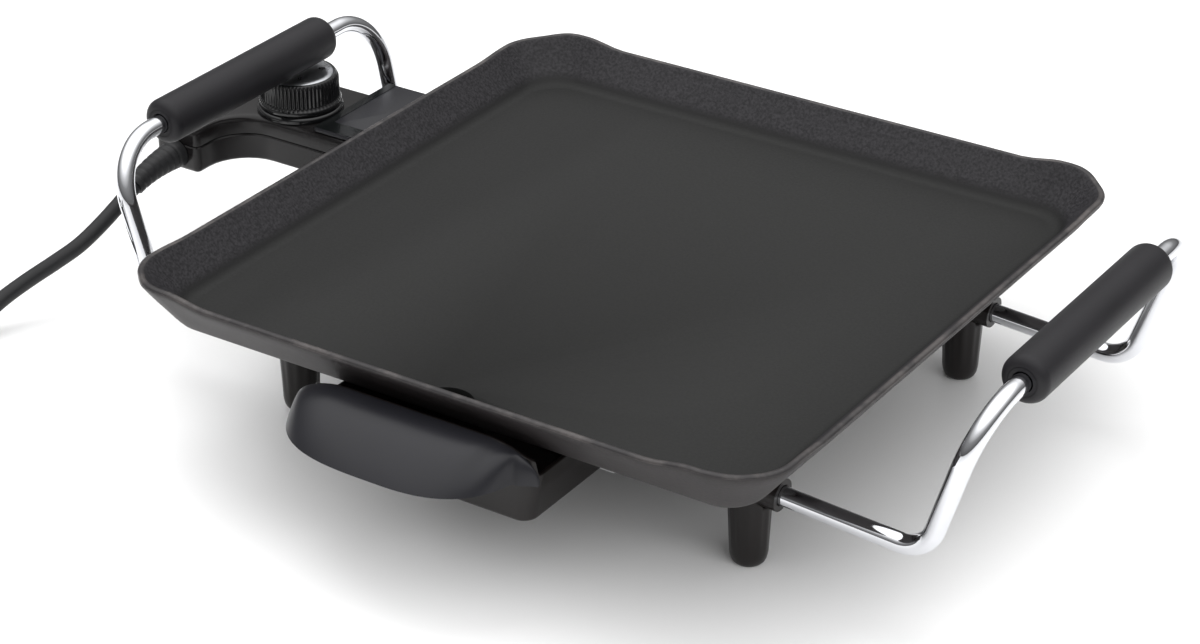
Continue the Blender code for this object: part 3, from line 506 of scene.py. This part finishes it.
def plate_ring(half, cut_size, radius, lift, z):
    """A level of the plate: a square with cut corners, and arcs where each cut meets the sides."""
    radius = min(CORNER_ROUNDING * radius, cut_size / 0.6)      # a larger one folds the ring over
    side_end = half - cut_size - radius * math.tan(math.pi / 8)
    quarter = []
    for centre, start in (((half - radius, side_end), 0.0), ((side_end, half - radius), 45.0)):
        for k in range(9):
            a = math.radians(start + 45.0 * k / 8)
            quarter.append((centre[0] + radius * math.cos(a), centre[1] + radius * math.sin(a)))
    # The points along a side crowd towards its end, where the rim rises.
    stations = [(half, f * side_end) for f in
                (0.0, 0.25, 0.45, 0.58, 0.66, 0.72, 0.77, 0.82, 0.86, 0.90, 0.94, 0.97)]
    quarter = stations + quarter + [(y, x) for x, y in reversed(stations[1:])]
    ring = []
    for turn in range(4):
        for x, y in quarter:
            for _ in range(turn):
                x, y = -y, x
            ring.append((x * WIDTH_SCALE + WIDTH_SHIFT, y, z + lift * rim_rise(x, y)))
    return ring


def heater_path(steps=8):
    """The element's centre line: from one pin up into its groove, round the plate and back."""
    rear, front = PROBE_Y + PIN_PITCH / 2, PROBE_Y - PIN_PITCH / 2
    pin_x, level_x, groove_x = -0.1180, -0.1060, -0.0900
    left, right, near, far = -0.0760, 0.0850, -0.0380, 0.1000
    z = BOTTOM_Z - 0.0004
    corners = [(pin_x, rear, PIN_Z), (level_x, rear, PIN_Z), (groove_x, rear, z),
               (-0.0800, rear + 0.003, z), (-0.0640, far, z), (right, far, z),
               (right, near, z), (left, near, z), (left, front, z),
               (groove_x, front, z), (level_x, front, PIN_Z), (pin_x, front, PIN_Z)]
    radii = (0.010, 0.010, 0.008, 0.016, 0.026, 0.026, 0.026, 0.006, 0.010, 0.010)
    return filleted(corners, radii, steps)


# Half width, size of the corner's cut and radius at its ends, for the outer and the inner faces.
OUTER_CORNERS = ((0.1280, 0.0060, 0.0095), (0.1305, 0.0065, 0.0105), (0.1335, 0.0078, 0.0115),
                 (0.1360, 0.0092, 0.0120), (0.1425, 0.0130, 0.0125), (0.1490, 0.0168, 0.0130),
                 (0.1501, 0.0174, 0.0130))
INNER_CORNERS = ((0.1300, 0.0093, 0.0110), (0.1335, 0.0100, 0.0110), (0.1352, 0.0105, 0.0115),
                 (0.1405, 0.0125, 0.0120), (0.1468, 0.0156, 0.0125), (0.1500, 0.0168, 0.0125))
WALL_STEPS = 7


def plate_level(table, half, lift, z):
    """The plate's ring of that half width, its corners read from the table."""
    for a, b in zip(table, table[1:]):
        if half <= b[0]:
            t = (half - a[0]) / (b[0] - a[0])
            return plate_ring(half, a[1] + (b[1] - a[1]) * t, a[2] + (b[2] - a[2]) * t, lift, z)


def plate_outside():
    """The rings from the underside up the outer wall to the rim's land."""
    foot = ((0.1285, 0, 0.0), (0.1315, 0, 0.0001), (0.1334, 0, 0.0007), (0.1348, 0, 0.0018),
            (0.1362, 0.02, 0.0033))
    brow = ((0.1491, 0.0033), (0.1498, 0.0020), (0.1500, 0.0011), (0.1497, 0.0004), (0.1490, 0.0))
    rings = [plate_level(OUTER_CORNERS, half, lift, BOTTOM_Z + rise) for half, lift, rise in foot]
    for k in range(1, WALL_STEPS):
        t = k / WALL_STEPS
        rings.append(plate_level(OUTER_CORNERS, 0.1362 + t * 0.0129, t ** 1.6,
                                 BOTTOM_Z + 0.0033 + t * 0.0154))
    return rings + [plate_level(OUTER_CORNERS, half, 1, RIM_Z - drop) for half, drop in brow]


def plate_inside():
    """The rings from the rim's land down the inner wall to the cooking surface."""
    brow = ((0.1480, 0.0), (0.1474, 0.0003), (0.1467, 0.0012))
    fillet = ((0.1353, 0.0024), (0.1340, 0.0011), (0.1324, 0.0003), (0.1306, 0.0))
    rings = [plate_level(INNER_CORNERS, half, 1, RIM_Z - drop) for half, drop in brow]
    for k in range(1, WALL_STEPS):
        t = k / WALL_STEPS
        rings.append(plate_level(INNER_CORNERS, 0.1467 - t * 0.0112, (1 - t) ** 1.5,
                                 RIM_Z - 0.0012 - t * 0.0126))
    return rings + [plate_level(INNER_CORNERS, half, 0, FLOOR_Z + rise) for half, rise in fillet]


def drain_outline():
    """A round hole with one straight side."""
    spread = math.acos((DRAIN_FLAT_Y - DRAIN_Y) / DRAIN_R)
    angles = [spread * (k / 12 - 1) for k in range(25)]
    return [(-DRAIN_R * math.sin(a), DRAIN_Y + DRAIN_R * math.cos(a)) for a in angles]


def cooking_plate():
    outside = plate_outside()
    rings = outside + plate_inside()
    data = loft(rings)
    for m in (COAT, OUTER, RIM):
        data.materials.append(m)
    count, land = len(rings[0]), len(outside)
    for f in data.polygons:
        band = f.index // count
        if band >= len(rings) - 1:              # the two caps: the cooking surface and the underside
            f.material_index = 0 if f.center.z > FLOOR_Z - 0.001 else 1
        else:
            f.material_index = 1 if band < land - 3 else 2 if band < land + 1 else 0
    plate = piece("cooking_plate_surface", data, None, "base", ["cooking_plate"], 40)
    # A bored boss underneath for the probe, then the drain, the element's groove and the screw holes.
    cut(plate, block((-0.100, PROBE_Y - 0.007, PIN_Z - 0.0060),
                     (-0.060, PROBE_Y + 0.007, BOTTOM_Z + 0.0010)), "UNION")
    cut(plate, rod((-0.105, PROBE_Y, PIN_Z), (-0.066, PROBE_Y, PIN_Z), PROBE_BORE_R))
    cut(plate, loft([[(x, y, z) for x, y in drain_outline()] for z in (0.045, 0.080)]))
    cut(plate, sweep(heater_path(), HEATER_R + CLEAR, 20))
    for x, y in FOOT_PLACES + RAIL_SCREWS:
        cut(plate, rod((x, y, BOTTOM_Z - 0.002), (x, y, BOTTOM_Z + 0.0034), SCREW_HOLE_R, 16))
    bake(plate)


# ------------------------------------------------------------------ legs
def wire_height(x):
    """The height of a handle's lower run, that far out from the middle."""
    return WIRE_START_Z - (x - FOOT_X) / (WIRE_KNEE_X - FOOT_X) * WIRE_FALL


def leg(end, x, y):
    """A flanged foot, fluted where it tapers, with a collar that takes the handle's rod."""
    side = math.copysign(1, x)
    sides = 64
    top = BOTTOM_Z - CLEAR
    flange = top - 0.0030
    shoulder = flange - 0.0105
    seat, collar, beyond = 0.0062, 0.0140, 0.0265       # distances out from the leg's middle
    profile = [(0.0040, top), (0.0149, top), (0.0154, top - 0.0003), (0.0155, top - 0.0010),
               (0.0155, flange + 0.0004), (0.0151, flange), (0.0124, flange - 0.0006),
               (0.0110, flange - 0.0020), (0.0100, flange - 0.0048), (0.0094, flange - 0.0080),
               (FOOT_TOP_R, shoulder)]
    tip = [(0.00735, 0.0038), (0.0070, 0.0022), (0.0064, 0.0010), (0.0057, 0.0003), (0.0050, 0.0)]
    rings = [circle(r, z, sides) for r, z in profile]
    for k in range(1, 11):
        t = k / 10
        rings.append(circle(FOOT_TOP_R + (FOOT_TIP_R - FOOT_TOP_R) * t, shoulder + (0.0052 - shoulder) * t,
                            sides, 12, 0.00035 * math.sin(math.pi * t) ** 0.5))
    rings += [circle(r, z, sides) for r, z in tip]
    obj = piece(f"leg_{end}_moulding", loft(rings), BAKELITE, "base", [f"leg_{end}"], 40,
                (x, y, 0))
    cut(obj, rod((0, 0, WIRE_START_Z), (side * collar, 0, wire_height(FOOT_X + collar)),
                 WIRE_R + 0.0026, 32), "UNION")
    cut(obj, rod((side * seat, 0, wire_height(FOOT_X + seat)),
                 (side * beyond, 0, wire_height(FOOT_X + beyond)), WIRE_R + CLEAR, 32))
    cut(obj, rod((0, 0, -0.001), (0, 0, 0.0203), FOOT_BORE_R, 28))
    cut(obj, rod((0, 0, 0.019), (0, 0, top + 0.001), SCREW_HOLE_R, 16))
    bevel(obj, 0.0006, 2, 50, False)
    bake(obj)
    screw(f"leg_screw_{end}_head", x, y, 0.0200, "base", f"leg_screw_{end}")


# ------------------------------------------------------------------ handles
def handle(name, side):
    """A chrome rod bent from one leg over to the other, and the grip sleeved over its top."""
    front = [(side * WIRE_START_X, -FOOT_Y, wire_height(WIRE_START_X)),
             (side * WIRE_KNEE_X, -FOOT_Y, wire_height(WIRE_KNEE_X))]
    top = [(side * GRIP.x, y, GRIP.z) for y in WIRE_TOP_Y]
    rear = [(x, -y, z) for x, y, z in reversed(front)]
    path = filleted(front + top + rear, (0.014, 0.024, 0.024, 0.014), 20)
    piece(f"handle_rod_{name}", curve_tube(path, WIRE_R, 8), CHROME, "base",
          [f"handle_wire_{name}"])
    edge = 0.0040
    outline = [(WIRE_R + CLEAR, GRIP_HALF), (GRIP_R - edge + 0.0002, GRIP_HALF)]
    for k in range(9):
        a = math.radians(90 - 90 * k / 8)
        outline.append((GRIP_R - edge + edge * math.cos(a), GRIP_HALF - edge + edge * math.sin(a)))
    outline += [(GRIP_R, 0.030), (GRIP_R, 0.0)]
    outline += [(r, -along) for r, along in reversed(outline[:-1])]
    rings = [[(x, -z, y) for x, y, z in circle(r, along, 56)] for r, along in outline]
    piece(f"handle_sleeve_{name}", loft(rings, closed=True), GRIPS, "base",
          [f"handle_grip_{name}"], 50, (side * GRIP.x, 0, GRIP.z))


# ------------------------------------------------------------------ drip drawer
def lip_ridge(x):
    """The height of the fascia's upper edge: level in the middle, then rounding off to its ends."""
    level = LIP_LEVEL[0] if x < 0 else LIP_LEVEL[1]
    t = min(max((abs(x) - level) / LIP_END_FALL, 0.0), 1.0)
    return LIP_END_Z + (LIP_TOP_Z - LIP_END_Z) * math.sqrt(1 - t * t)


def visor_reach(x):
    """How far the visor stands out at x: rounded ends, and a thin web beyond the right one."""
    half = VISOR_LEFT if x < 0 else VISOR_RIGHT
    dome = LIP_REACH * max(1 - abs(x / half) ** 3, 0.0) ** 0.5
    web = 0.0012 + (0.0035 * ease((LIP_HALF - x) / 0.008) if x > 0 else 0.0)
    return min((dome ** 3 + web ** 3) ** (1 / 3), LIP_REACH)


def tray_ring(half, front, back, radius, z, raised=False):
    """A level of the drawer; raised lifts its front wall to just under the fascia's edge."""
    steps = 8
    corners = [(-half, front), (half, front), (half, back), (-half, back)]
    outline = ring_of(corners, (radius,) * 4, steps)
    stations = [(-half + radius + k * (half - radius) / 12, front) for k in range(1, 24)]
    outline = outline[:steps + 1] + stations + outline[steps + 1:]
    if not raised:
        return [(x, y, z) for x, y in outline]
    return [(x, y, max(lip_ridge(x) - 0.0006, z) if y < front + radius * 0.6 else z) for x, y in outline]


def drip_tray():
    foot_half = TRAY_HALF - TRAY_DRAFT
    edge = 0.0020
    rings = []
    for k in range(7):
        a = math.radians(90 * k / 6)
        inset = edge * (1 - math.sin(a))
        rings.append(tray_ring(foot_half - inset, TRAY_FRONT + inset, TRAY_BACK - 0.0012 - inset,
                               0.0062 - inset * 0.6, TRAY_BOTTOM_Z + edge * (1 - math.cos(a))))
    rings.append(tray_ring(0.0508, TRAY_FRONT, TRAY_BACK - 0.0006, 0.0066, 0.0400))
    rings.append(tray_ring(TRAY_HALF, TRAY_FRONT, TRAY_BACK, 0.0070, TRAY_TOP_Z, True))
    tray = piece("drip_tray_shell", loft(rings, top=False), BAKELITE, "drawer",
                 ["drip_tray"], 40)
    shell = tray.modifiers.new("wall", "SOLIDIFY")
    shell.thickness = TRAY_WALL
    shell.offset = -1.0
    shell.use_even_offset = True
    bevel(tray, 0.0005, 2, 50, False)
    bake(tray)


def visor_section(x, rows):
    """The visor cut at x: its outer skin from the top edge down, and its inner one back up."""
    reach, rise = visor_reach(x), lip_ridge(x) - LIP_EDGE_Z
    skins = ((reach, rise, 1), (max(reach - LIP_SKIN, 0.4 * reach), max(rise - LIP_SKIN, 0.3 * rise), -1))
    crease = 0.0013 * math.exp(-((x - CREASE_X) / 0.0036) ** 2)
    section = []
    for reach, rise, order in skins:
        side = []
        for j in range(rows + 1):
            t = math.sin(math.pi / 2 * j / rows)
            dip = crease * math.sin(math.pi * min(0.08 + t, 1.0)) if order > 0 else 0.0
            side.append((x, TRAY_FRONT - CLEAR - reach * t, LIP_EDGE_Z + rise * (1 - t ** 2.6) - dip))
        section += side[::order]
    return section


def tray_lip():
    """The drawer's fascia: a domed visor with a crease and a thin web at its right."""
    columns = 110
    places = [-math.cos(math.pi * i / columns) * LIP_HALF for i in range(columns + 1)]
    lip = piece("tray_handle_visor", loft([visor_section(x, 24) for x in places]), PANEL, "drawer",
                ["tray_handle"], 50)
    bevel(lip, 0.0007, 3, 50, False)
    bake(lip)


# ------------------------------------------------------------------ thermostat plug
def plug_ring(inset, z):
    """A level of the plug: an L whose long arm carries the dial and whose foot the lead."""
    nose, step = PLUG_NOSE_X - inset, PLUG_STEP_X + inset
    outer, inner = PLUG_OUTER_X + inset, PLUG_HANDLE_X - inset
    end, front = PLUG_END_Y + inset, PLUG_FRONT_Y + inset
    deck, rear = PLUG_DECK_Y - inset, PLUG_REAR_Y - inset
    corners = [(nose, front), (nose, rear), (step, rear), (step, deck), (outer, deck), (outer, end),
               (inner, end), (inner, front)]
    radii = [0.0020, 0.0030, 0.0030, 0.0020, 0.0240, 0.0030, 0.0030, 0.0190]
    hollow = (3, 7)                             # the corners that turn inwards widen with the inset
    radii = [r + inset if k in hollow else max(r - inset, 0.0005) for k, r in enumerate(radii)]
    return [(x, y, z) for x, y in ring_of(corners, radii, 8)]


def shell_half(name, levels, node):
    """One half of the plug's case, with room for the contact block and for the lead's sleeve."""
    obj = piece(name, loft([plug_ring(inset, z) for inset, z in levels]), SHELL, "thermostat_plug",
                [node], 32)
    cut(obj, block((-0.1625 - CLEAR, PROBE_Y - 0.0190 - CLEAR, PIN_Z - 0.0034 - CLEAR),
                   (-0.1210 + CLEAR, PROBE_Y + 0.0190 + CLEAR, PIN_Z + 0.0042 + CLEAR)))
    cut(obj, rod((CORD_EXIT.x, -0.0100, CORD_EXIT.z), (CORD_EXIT.x, 0.0010, CORD_EXIT.z), 0.0045, 28))
    return obj


def plug_shells():
    split = PLUG_SPLIT
    upper = shell_half("thermostat_top_shell", [
        (0.0006, split + 0.0003), (0.0001, split + 0.0006), (0.0, split + 0.0010),
        (0.0, DECK - 0.0030), (0.0002, DECK - 0.0020), (0.0007, DECK - 0.0011),
        (0.0014, DECK - 0.0005), (0.0023, DECK - 0.0001), (0.0034, DECK)], "thermostat_upper_shell")
    cut(upper, block((-0.1490, 0.0, DECK - 0.0010), (-0.1400, 0.1, DECK + 0.001)))
    bake(upper)
    lower = shell_half("thermostat_bottom_shell", [
        (0.0030, PLUG_BOTTOM), (0.0018, PLUG_BOTTOM + 0.0002), (0.0008, PLUG_BOTTOM + 0.0008),
        (0.0002, PLUG_BOTTOM + 0.0018), (0.0, PLUG_BOTTOM + 0.0028),
        (0.0, split - 0.0006), (0.0004, split)], "thermostat_lower_shell")
    for x, y in SHELL_SCREWS:
        cut(lower, rod((x, y, PLUG_BOTTOM - 0.001), (x, y, PLUG_BOTTOM + 0.0012), 0.0031, 28))
    bake(lower)
    for k, (x, y) in enumerate(SHELL_SCREWS, 1):
        screw(f"shell_screw_{k}_head", x, y, PLUG_BOTTOM + 0.0022, "thermostat_plug",
              f"shell_screw_{k}", 0.0026)


def head_plate():
    """The flat plate on the plug's head, with a gloss strip along two of its sides."""
    def ring(inset, z):
        nose, step = PLUG_NOSE_X - inset, PLUG_STEP_X + inset
        front, rear = PLUG_FRONT_Y + inset, PLUG_REAR_Y - inset
        corners = [(nose, front), (nose, rear), (step, rear), (step, front)]
        return [(x, y, z) for x, y in ring_of(corners, (0.0022,) * 4, 6)]

    low = DECK + CLEAR
    piece("thermostat_top_plate", loft([
        ring(0.0010, low), ring(0.0006, low + 0.0002), ring(0.0006, PLATE_TOP - 0.0006),
        ring(0.0008, PLATE_TOP - 0.0002), ring(0.0013, PLATE_TOP)]), PANEL, "thermostat_plug",
        ["thermostat_head_plate"], 30)
    trim = ring_of([(-0.1494, 0.0236), (-0.1494, 0.0325), (-0.1782, 0.0325), (-0.1782, 0.0790),
                    (-0.1823, 0.0790), (-0.1823, 0.0236)], (0.0012,) * 6, 4)
    heights = (PLATE_TOP - 0.0005, PLATE_TOP + 0.00015)
    piece("thermostat_gloss_trim", loft([[(x, y, z) for x, y in trim] for z in heights]), INLAY,
          "thermostat_plug", smooth=30)


def dial_figure(k, reach):
    """The k-th figure, standing on the dial's face and read from its middle."""
    angle = math.radians(40 + 54 * k)
    label = bpy.data.curves.new(f"dial_figure_{k}", "FONT")
    label.body = str(k)
    label.size = 0.0042
    label.align_x = "CENTER"
    label.align_y = "CENTER"
    label.extrude = 0.00008
    place = DIAL + Vector((reach * math.cos(angle), reach * math.sin(angle), DIAL_TOP - 0.0002))
    figure = piece(f"dial_figure_{k}", label, GLOSS, "dial", at=place)
    figure.rotation_euler = (0, 0, angle - math.pi / 2)


def dial():
    """The fixed ring on the plug's deck, and on it the ribbed knob with its disc and figures."""
    low = DECK + CLEAR
    top = DECK + 0.0030
    flange = DIAL_FLANGE_R
    base = [(0.0042, top), (0.0168, top), (flange - 0.0009, top - 0.0003), (flange - 0.0003, top - 0.0008),
            (flange, top - 0.0016), (flange, low), (0.0042, low)]
    piece("dial_seat_ring", loft([circle(r, z, 96) for r, z in base], closed=True), GLOSS,
          "thermostat_plug", ["dial_bezel"], 40, DIAL)
    knob_low = top + CLEAR
    crown = DIAL_TOP - 0.0012
    r = DIAL_R
    profile = [(r - 0.0026, crown - 0.0016), (r - 0.0025, crown - 0.0002), (r - 0.0023, crown),
               (r - 0.0016, crown - 0.0001), (r - 0.0012, crown - 0.0005), (r - 0.0006, crown - 0.0014),
               (r - 0.0002, crown - 0.0026), (r - 0.0001, knob_low + 0.0040), (r, knob_low + 0.0030),
               (r + 0.0004, knob_low + 0.0022), (r + 0.0008, knob_low + 0.0016),
               (r + 0.0008, knob_low + 0.0004), (r + 0.0004, knob_low)]
    piece("temperature_knob", turned(profile, 360, 60, 0.0007, (5, 8)), GLOSS, "dial",
          ["temperature_dial"], 60, DIAL)
    disc_r = r - 0.0026
    disc = [(0.0002, DIAL_TOP), (disc_r * 0.55, DIAL_TOP - 0.0002), (disc_r * 0.85, DIAL_TOP - 0.0006),
            (disc_r - 0.0006, DIAL_TOP - 0.0009), (disc_r, DIAL_TOP - 0.0014), (disc_r, crown - 0.0012)]
    piece("dial_face_disc", turned(disc, 96), SILVER, "dial", ["dial_cap"], 50, DIAL)
    for k in range(6):
        dial_figure(k, disc_r * 0.66)


# ------------------------------------------------------------------ mains cord
CORD_ROUTE = ((-0.2380, -0.0340, 0.0438), (-0.2382, -0.0450, 0.0390), (-0.2390, -0.0570, 0.0338),
              (-0.2415, -0.0680, 0.0284), (-0.2470, -0.0780, 0.0229), (-0.2530, -0.0890, 0.0174),
              (-0.2572, -0.1000, 0.0126), (-0.2592, -0.1120, 0.0082), (-0.2600, -0.1250, 0.0052),
              (-0.2603, -0.1390, 0.0040), (-0.2603, -0.1550, 0.0040), (-0.2603, -0.1730, 0.0040))
COIL = Vector((CORD_ROUTE[-1][0] - CORD_R - CLEAR - COIL_R - COIL_EDGE, CORD_ROUTE[-1][1], 0.0))


def smooth_path(points, per_span):
    """A smooth curve through the points."""
    pts = [Vector(p) for p in points]
    pts = [pts[0] * 2 - pts[1]] + pts + [pts[-1] * 2 - pts[-2]]
    path = []
    for a, b, c, d in zip(pts, pts[1:], pts[2:], pts[3:]):
        for k in range(per_span):
            t = k / per_span
            path.append(0.5 * (2 * b + (c - a) * t + (2 * a - 5 * b + 4 * c - d) * t * t
                               + (3 * b - a - 3 * c + d) * t ** 3))
    path.append(pts[-2])
    return path


def cord_path():
    """The lead's whole centre line: down to the table, through the coil's turns, up to its plug."""
    path = smooth_path(CORD_ROUTE, 4)
    lanes = [(COIL_R + COIL_PITCH, COIL_LOW), (COIL_R, COIL_LOW), (COIL_R - COIL_PITCH, COIL_LOW),
             (COIL_R - COIL_PITCH / 2, COIL_HIGH), (COIL_R + COIL_PITCH / 2, COIL_HIGH),
             (COIL_R + 0.0040, COIL_HIGH)]
    start = path[-1]
    first = (start.x - COIL.x, start.z)
    steps = 44
    for turn in range(COIL_TURNS):
        for k in range(steps):
            if turn == 0 and k == 0:            # the route's last point is already there
                continue
            t = k / steps
            r, z = lanes[turn]
            r2, z2 = lanes[turn + 1]
            if turn == 0:
                w = ease(t / 0.30)
                r, z = first[0] + (r - first[0]) * w, first[1] + (z - first[1]) * w
            w = ease((t - 0.70) / 0.30)
            r, z = r + (r2 - r) * w, z + (z2 - z) * w
            a = -2 * math.pi * t
            path.append(Vector((COIL.x + r * math.cos(a), COIL.y + r * math.sin(a), z)))
    x = COIL.x + lanes[-1][0]
    leave = [(0.0, COIL_HIGH), (0.014, COIL_HIGH + 0.0008), (0.030, COIL_HIGH + 0.0030),
             (0.045, 0.0172), (0.0585, PLUG_AXIS_Z)]
    return path + smooth_path([(x, COIL.y - along, z) for along, z in leave], 5)


def strain_relief():
    """A ribbed, tapered sleeve, bent from straight out of the plug into the lead's direction."""
    onward = (Vector(CORD_ROUTE[1]) - Vector(CORD_ROUTE[0])).normalized()
    start, end = CORD_EXIT, Vector(CORD_ROUTE[0]) - onward * CLEAR
    outward = Vector((0, -1, 0))
    side = Vector((1, 0, 0))
    reach = (end - start).length * 0.34
    bend = [start, start + outward * reach, end - onward * reach, end]
    rings = []
    for k in range(49):
        t = k / 48
        weights = ((1 - t) ** 3, 3 * t * (1 - t) ** 2, 3 * t * t * (1 - t), t ** 3)
        centre = sum((p * w for p, w in zip(bend, weights)), Vector())
        groove = 0.00045 if 6 < k < 46 and (k % 6) in (0, 1) else 0.0
        radius = 0.0066 - 0.0022 * t - groove
        up = side.cross(outward.lerp(onward, t).normalized()).normalized()
        rings.append([centre + side * radius * math.cos(2 * math.pi * n / 36)
                      + up * radius * math.sin(2 * math.pi * n / 36) for n in range(36)])
    piece("strain_relief_sleeve", loft(rings), RUBBER, "thermostat_plug",
          ["strain_relief"], 50)


def cord_tie():
    """A flat band round the coil's front."""
    def outline(half, low, high, low_radius, high_radius):
        y = COIL.y - COIL_R
        corners = [(y - half, low), (y + half, low), (y + half, high), (y - half, high)]
        return ring_of(corners, (low_radius, low_radius, high_radius, high_radius), 6)

    outer = outline(0.0119, 0.0003, 0.0156, 0.0030, 0.0050)
    inner = outline(0.0113, 0.0009, 0.0150, 0.0025, 0.0044)
    low, high = COIL.x - 0.0038, COIL.x + 0.0038
    rings = [[(x, y, z) for y, z in edge]
             for x, edge in ((low, outer), (high, outer), (high, inner), (low, inner))]
    return piece("cord_tie_band", loft(rings, closed=True), SHELL, "thermostat_plug",
                 ["cord_tie"], 40)


def mains_plug():
    """A round moulded plug lying on its side, and its two pins."""
    x, face = COIL.x + 0.0420, COIL.y - 0.1020
    upright = (math.radians(90), 0, 0)
    r = 0.0185
    profile = [(0.0004, 0.0), (r - 0.0030, 0.0), (r - 0.0010, -0.0003), (r - 0.0003, -0.0010),
               (r, -0.0022), (r, -0.0140), (r - 0.0006, -0.0156), (r - 0.0030, -0.0172),
               (0.0138, -0.0182), (0.0126, -0.0200), (0.0120, -0.0250), (0.0112, -0.0300),
               (0.0098, -0.0330), (0.0082, -0.0350), (0.0072, -0.0385), (0.0062, -0.0410),
               (0.0045, -0.0420)]
    body = piece("mains_plug_body", turned(profile), RUBBER, "thermostat_plug",
                 ["mains_plug"], 40, (x, face, PLUG_AXIS_Z))
    body.rotation_euler = upright
    pieces = [body]
    for name, side in (("left", -1), ("right", 1)):
        profile = [(0.0008, 0.0), (0.0016, -0.0003), (0.0022, -0.0011), (0.0024, -0.0022),
                   (0.0024, -0.0187)]
        pin = piece(f"mains_plug_pin_{name}", turned(profile, 32), CHROME, "thermostat_plug",
                    [f"plug_pin_{name}"], 40, (x + side * 0.0095, face - 0.0190, PLUG_AXIS_Z))
        pin.rotation_euler = upright
        pieces.append(pin)
    return pieces


def mains_cord():
    cord = piece("mains_flex", curve_tube(cord_path(), CORD_R), RUBBER, "thermostat_plug",
                 ["mains_cord", "cord_coil"])
    strain_relief()
    return cord, [cord_tie(), *mains_plug()]


# ------------------------------------------------------------------ carried-over CAD nodes
def dress(node, mat, width=0.0):
    """A CAD node that keeps its shape gets its material and, if wanted, eased edges."""
    obj = NODES[node]
    obj.data.materials.clear()
    obj.data.materials.append(mat)
    if width:
        bevel(obj, width, 2, 40)


def small_parts():
    for side in ("left", "right"):
        dress(f"tray_rail_{side}", ZINC, 0.0003)
    for end, (x, y) in zip(CORNER_NAMES, RAIL_SCREWS):
        screw(f"rail_screw_{end}_head", x, y, BOTTOM_Z - 0.0016, "base", f"rail_screw_{end}", 0.0034)
    dress("terminal_guard", ZINC, 0.0004)
    dress("terminal_pin_front", CHROME, 0.0004)
    dress("terminal_pin_rear", CHROME, 0.0004)
    dress("contact_block", CERAMIC)
    dress("contact_sleeve_front", BRASS, 0.0003)
    dress("contact_sleeve_rear", BRASS, 0.0003)
    dress("temperature_probe", PROBE)
    dress("thermostat_switch", CERAMIC, 0.0006)
    dress("dial_shaft", PROBE, 0.0003)
    piece("heating_element_tube", curve_tube(heater_path(12), HEATER_R), HEATER, "base",
          ["heating_element"])


# ------------------------------------------------------------------ stage
def area_light(name, place, target, size, power):
    data = bpy.data.lights.new(name, "AREA")
    data.shape = "RECTANGLE"
    data.size, data.size_y = size
    data.energy = power
    lamp = bpy.data.objects.new(name, data)
    bpy.context.scene.collection.objects.link(lamp)
    lamp.location = place
    lamp.visible_glossy = False
    lamp.rotation_mode = "QUATERNION"
    lamp.rotation_quaternion = (Vector(target) - Vector(place)).to_track_quat("-Z", "Y")


def sky():
    """A bright ceiling over a darker horizon, so that polished metal has something to show."""
    world = bpy.data.worlds.new("studio")
    bpy.context.scene.world = world
    world.use_nodes = True
    tree = world.node_tree
    coord = tree.nodes.new("ShaderNodeTexCoord")
    split = tree.nodes.new("ShaderNodeSeparateXYZ")
    tree.links.new(coord.outputs["Generated"], split.inputs["Vector"])
    ramp = tree.nodes.new("ShaderNodeValToRGB")
    levels = ((0.0, 0.10), (0.10, 0.15), (0.34, 0.28), (0.54, 0.72), (0.74, 1.50), (1.0, 1.65))
    while len(ramp.color_ramp.elements) < len(levels):
        ramp.color_ramp.elements.new(0.5)
    for element, (place, grey) in zip(ramp.color_ramp.elements, levels):
        element.position = place
        element.color = (grey, grey, grey, 1)
    tree.links.new(split.outputs["Z"], ramp.inputs["Fac"])
    tree.links.new(ramp.outputs["Color"], tree.nodes["Background"].inputs["Color"])
    tree.nodes["Background"].inputs["Strength"].default_value = 1.0


def stage():
    """The camera, the floor and the lights."""
    data = bpy.data.cameras.new("camera")
    data.lens = 96.2
    data.sensor_width = 36.0
    data.clip_end = 50
    camera = bpy.data.objects.new("camera", data)
    bpy.context.scene.collection.objects.link(camera)
    camera.location = Vector((0.6233, -0.9761, 0.6595)) + SHIFT
    camera.rotation_euler = (math.radians(90 - 28.4571), 0, math.radians(33.2554))
    bpy.context.scene.camera = camera
    bm = bmesh.new()
    bmesh.ops.create_grid(bm, x_segments=2, y_segments=2, size=8.0)
    floor = bpy.data.objects.new("floor", mesh_of(bm))
    bpy.context.scene.collection.objects.link(floor)
    n = Nodes("studio_floor")
    cloud = n.noise(1.5, 2.0)
    floor.data.materials.append(n.set(Base_Color=n.tone(cloud, (0.80, 0.80, 0.80), (0.83, 0.83, 0.83)),
                                      Roughness=0.28, Specular_IOR_Level=0.35))
    sky()
    area_light("key", (-0.9, 0.7, 1.7), (0, 0, 0.05), (1.6, 1.6), 26)
    area_light("left", (-1.5, -0.9, 0.9), (0, 0, 0.03), (1.8, 1.0), 15)
    area_light("right", (1.5, -0.6, 0.8), (0, 0, 0.03), (1.8, 1.0), 14)
    scene = bpy.context.scene
    scene.view_settings.view_transform = "Standard"
    scene.view_settings.look = "None"


stage()
cord, on_cord = mains_cord()
cooking_plate()
for end, (x, y) in zip(CORNER_NAMES, FOOT_PLACES):
    leg(end, x, y)
handle("left", -1)
handle("right", 1)
drip_tray()
tray_lip()
plug_shells()
head_plate()
dial()
small_parts()
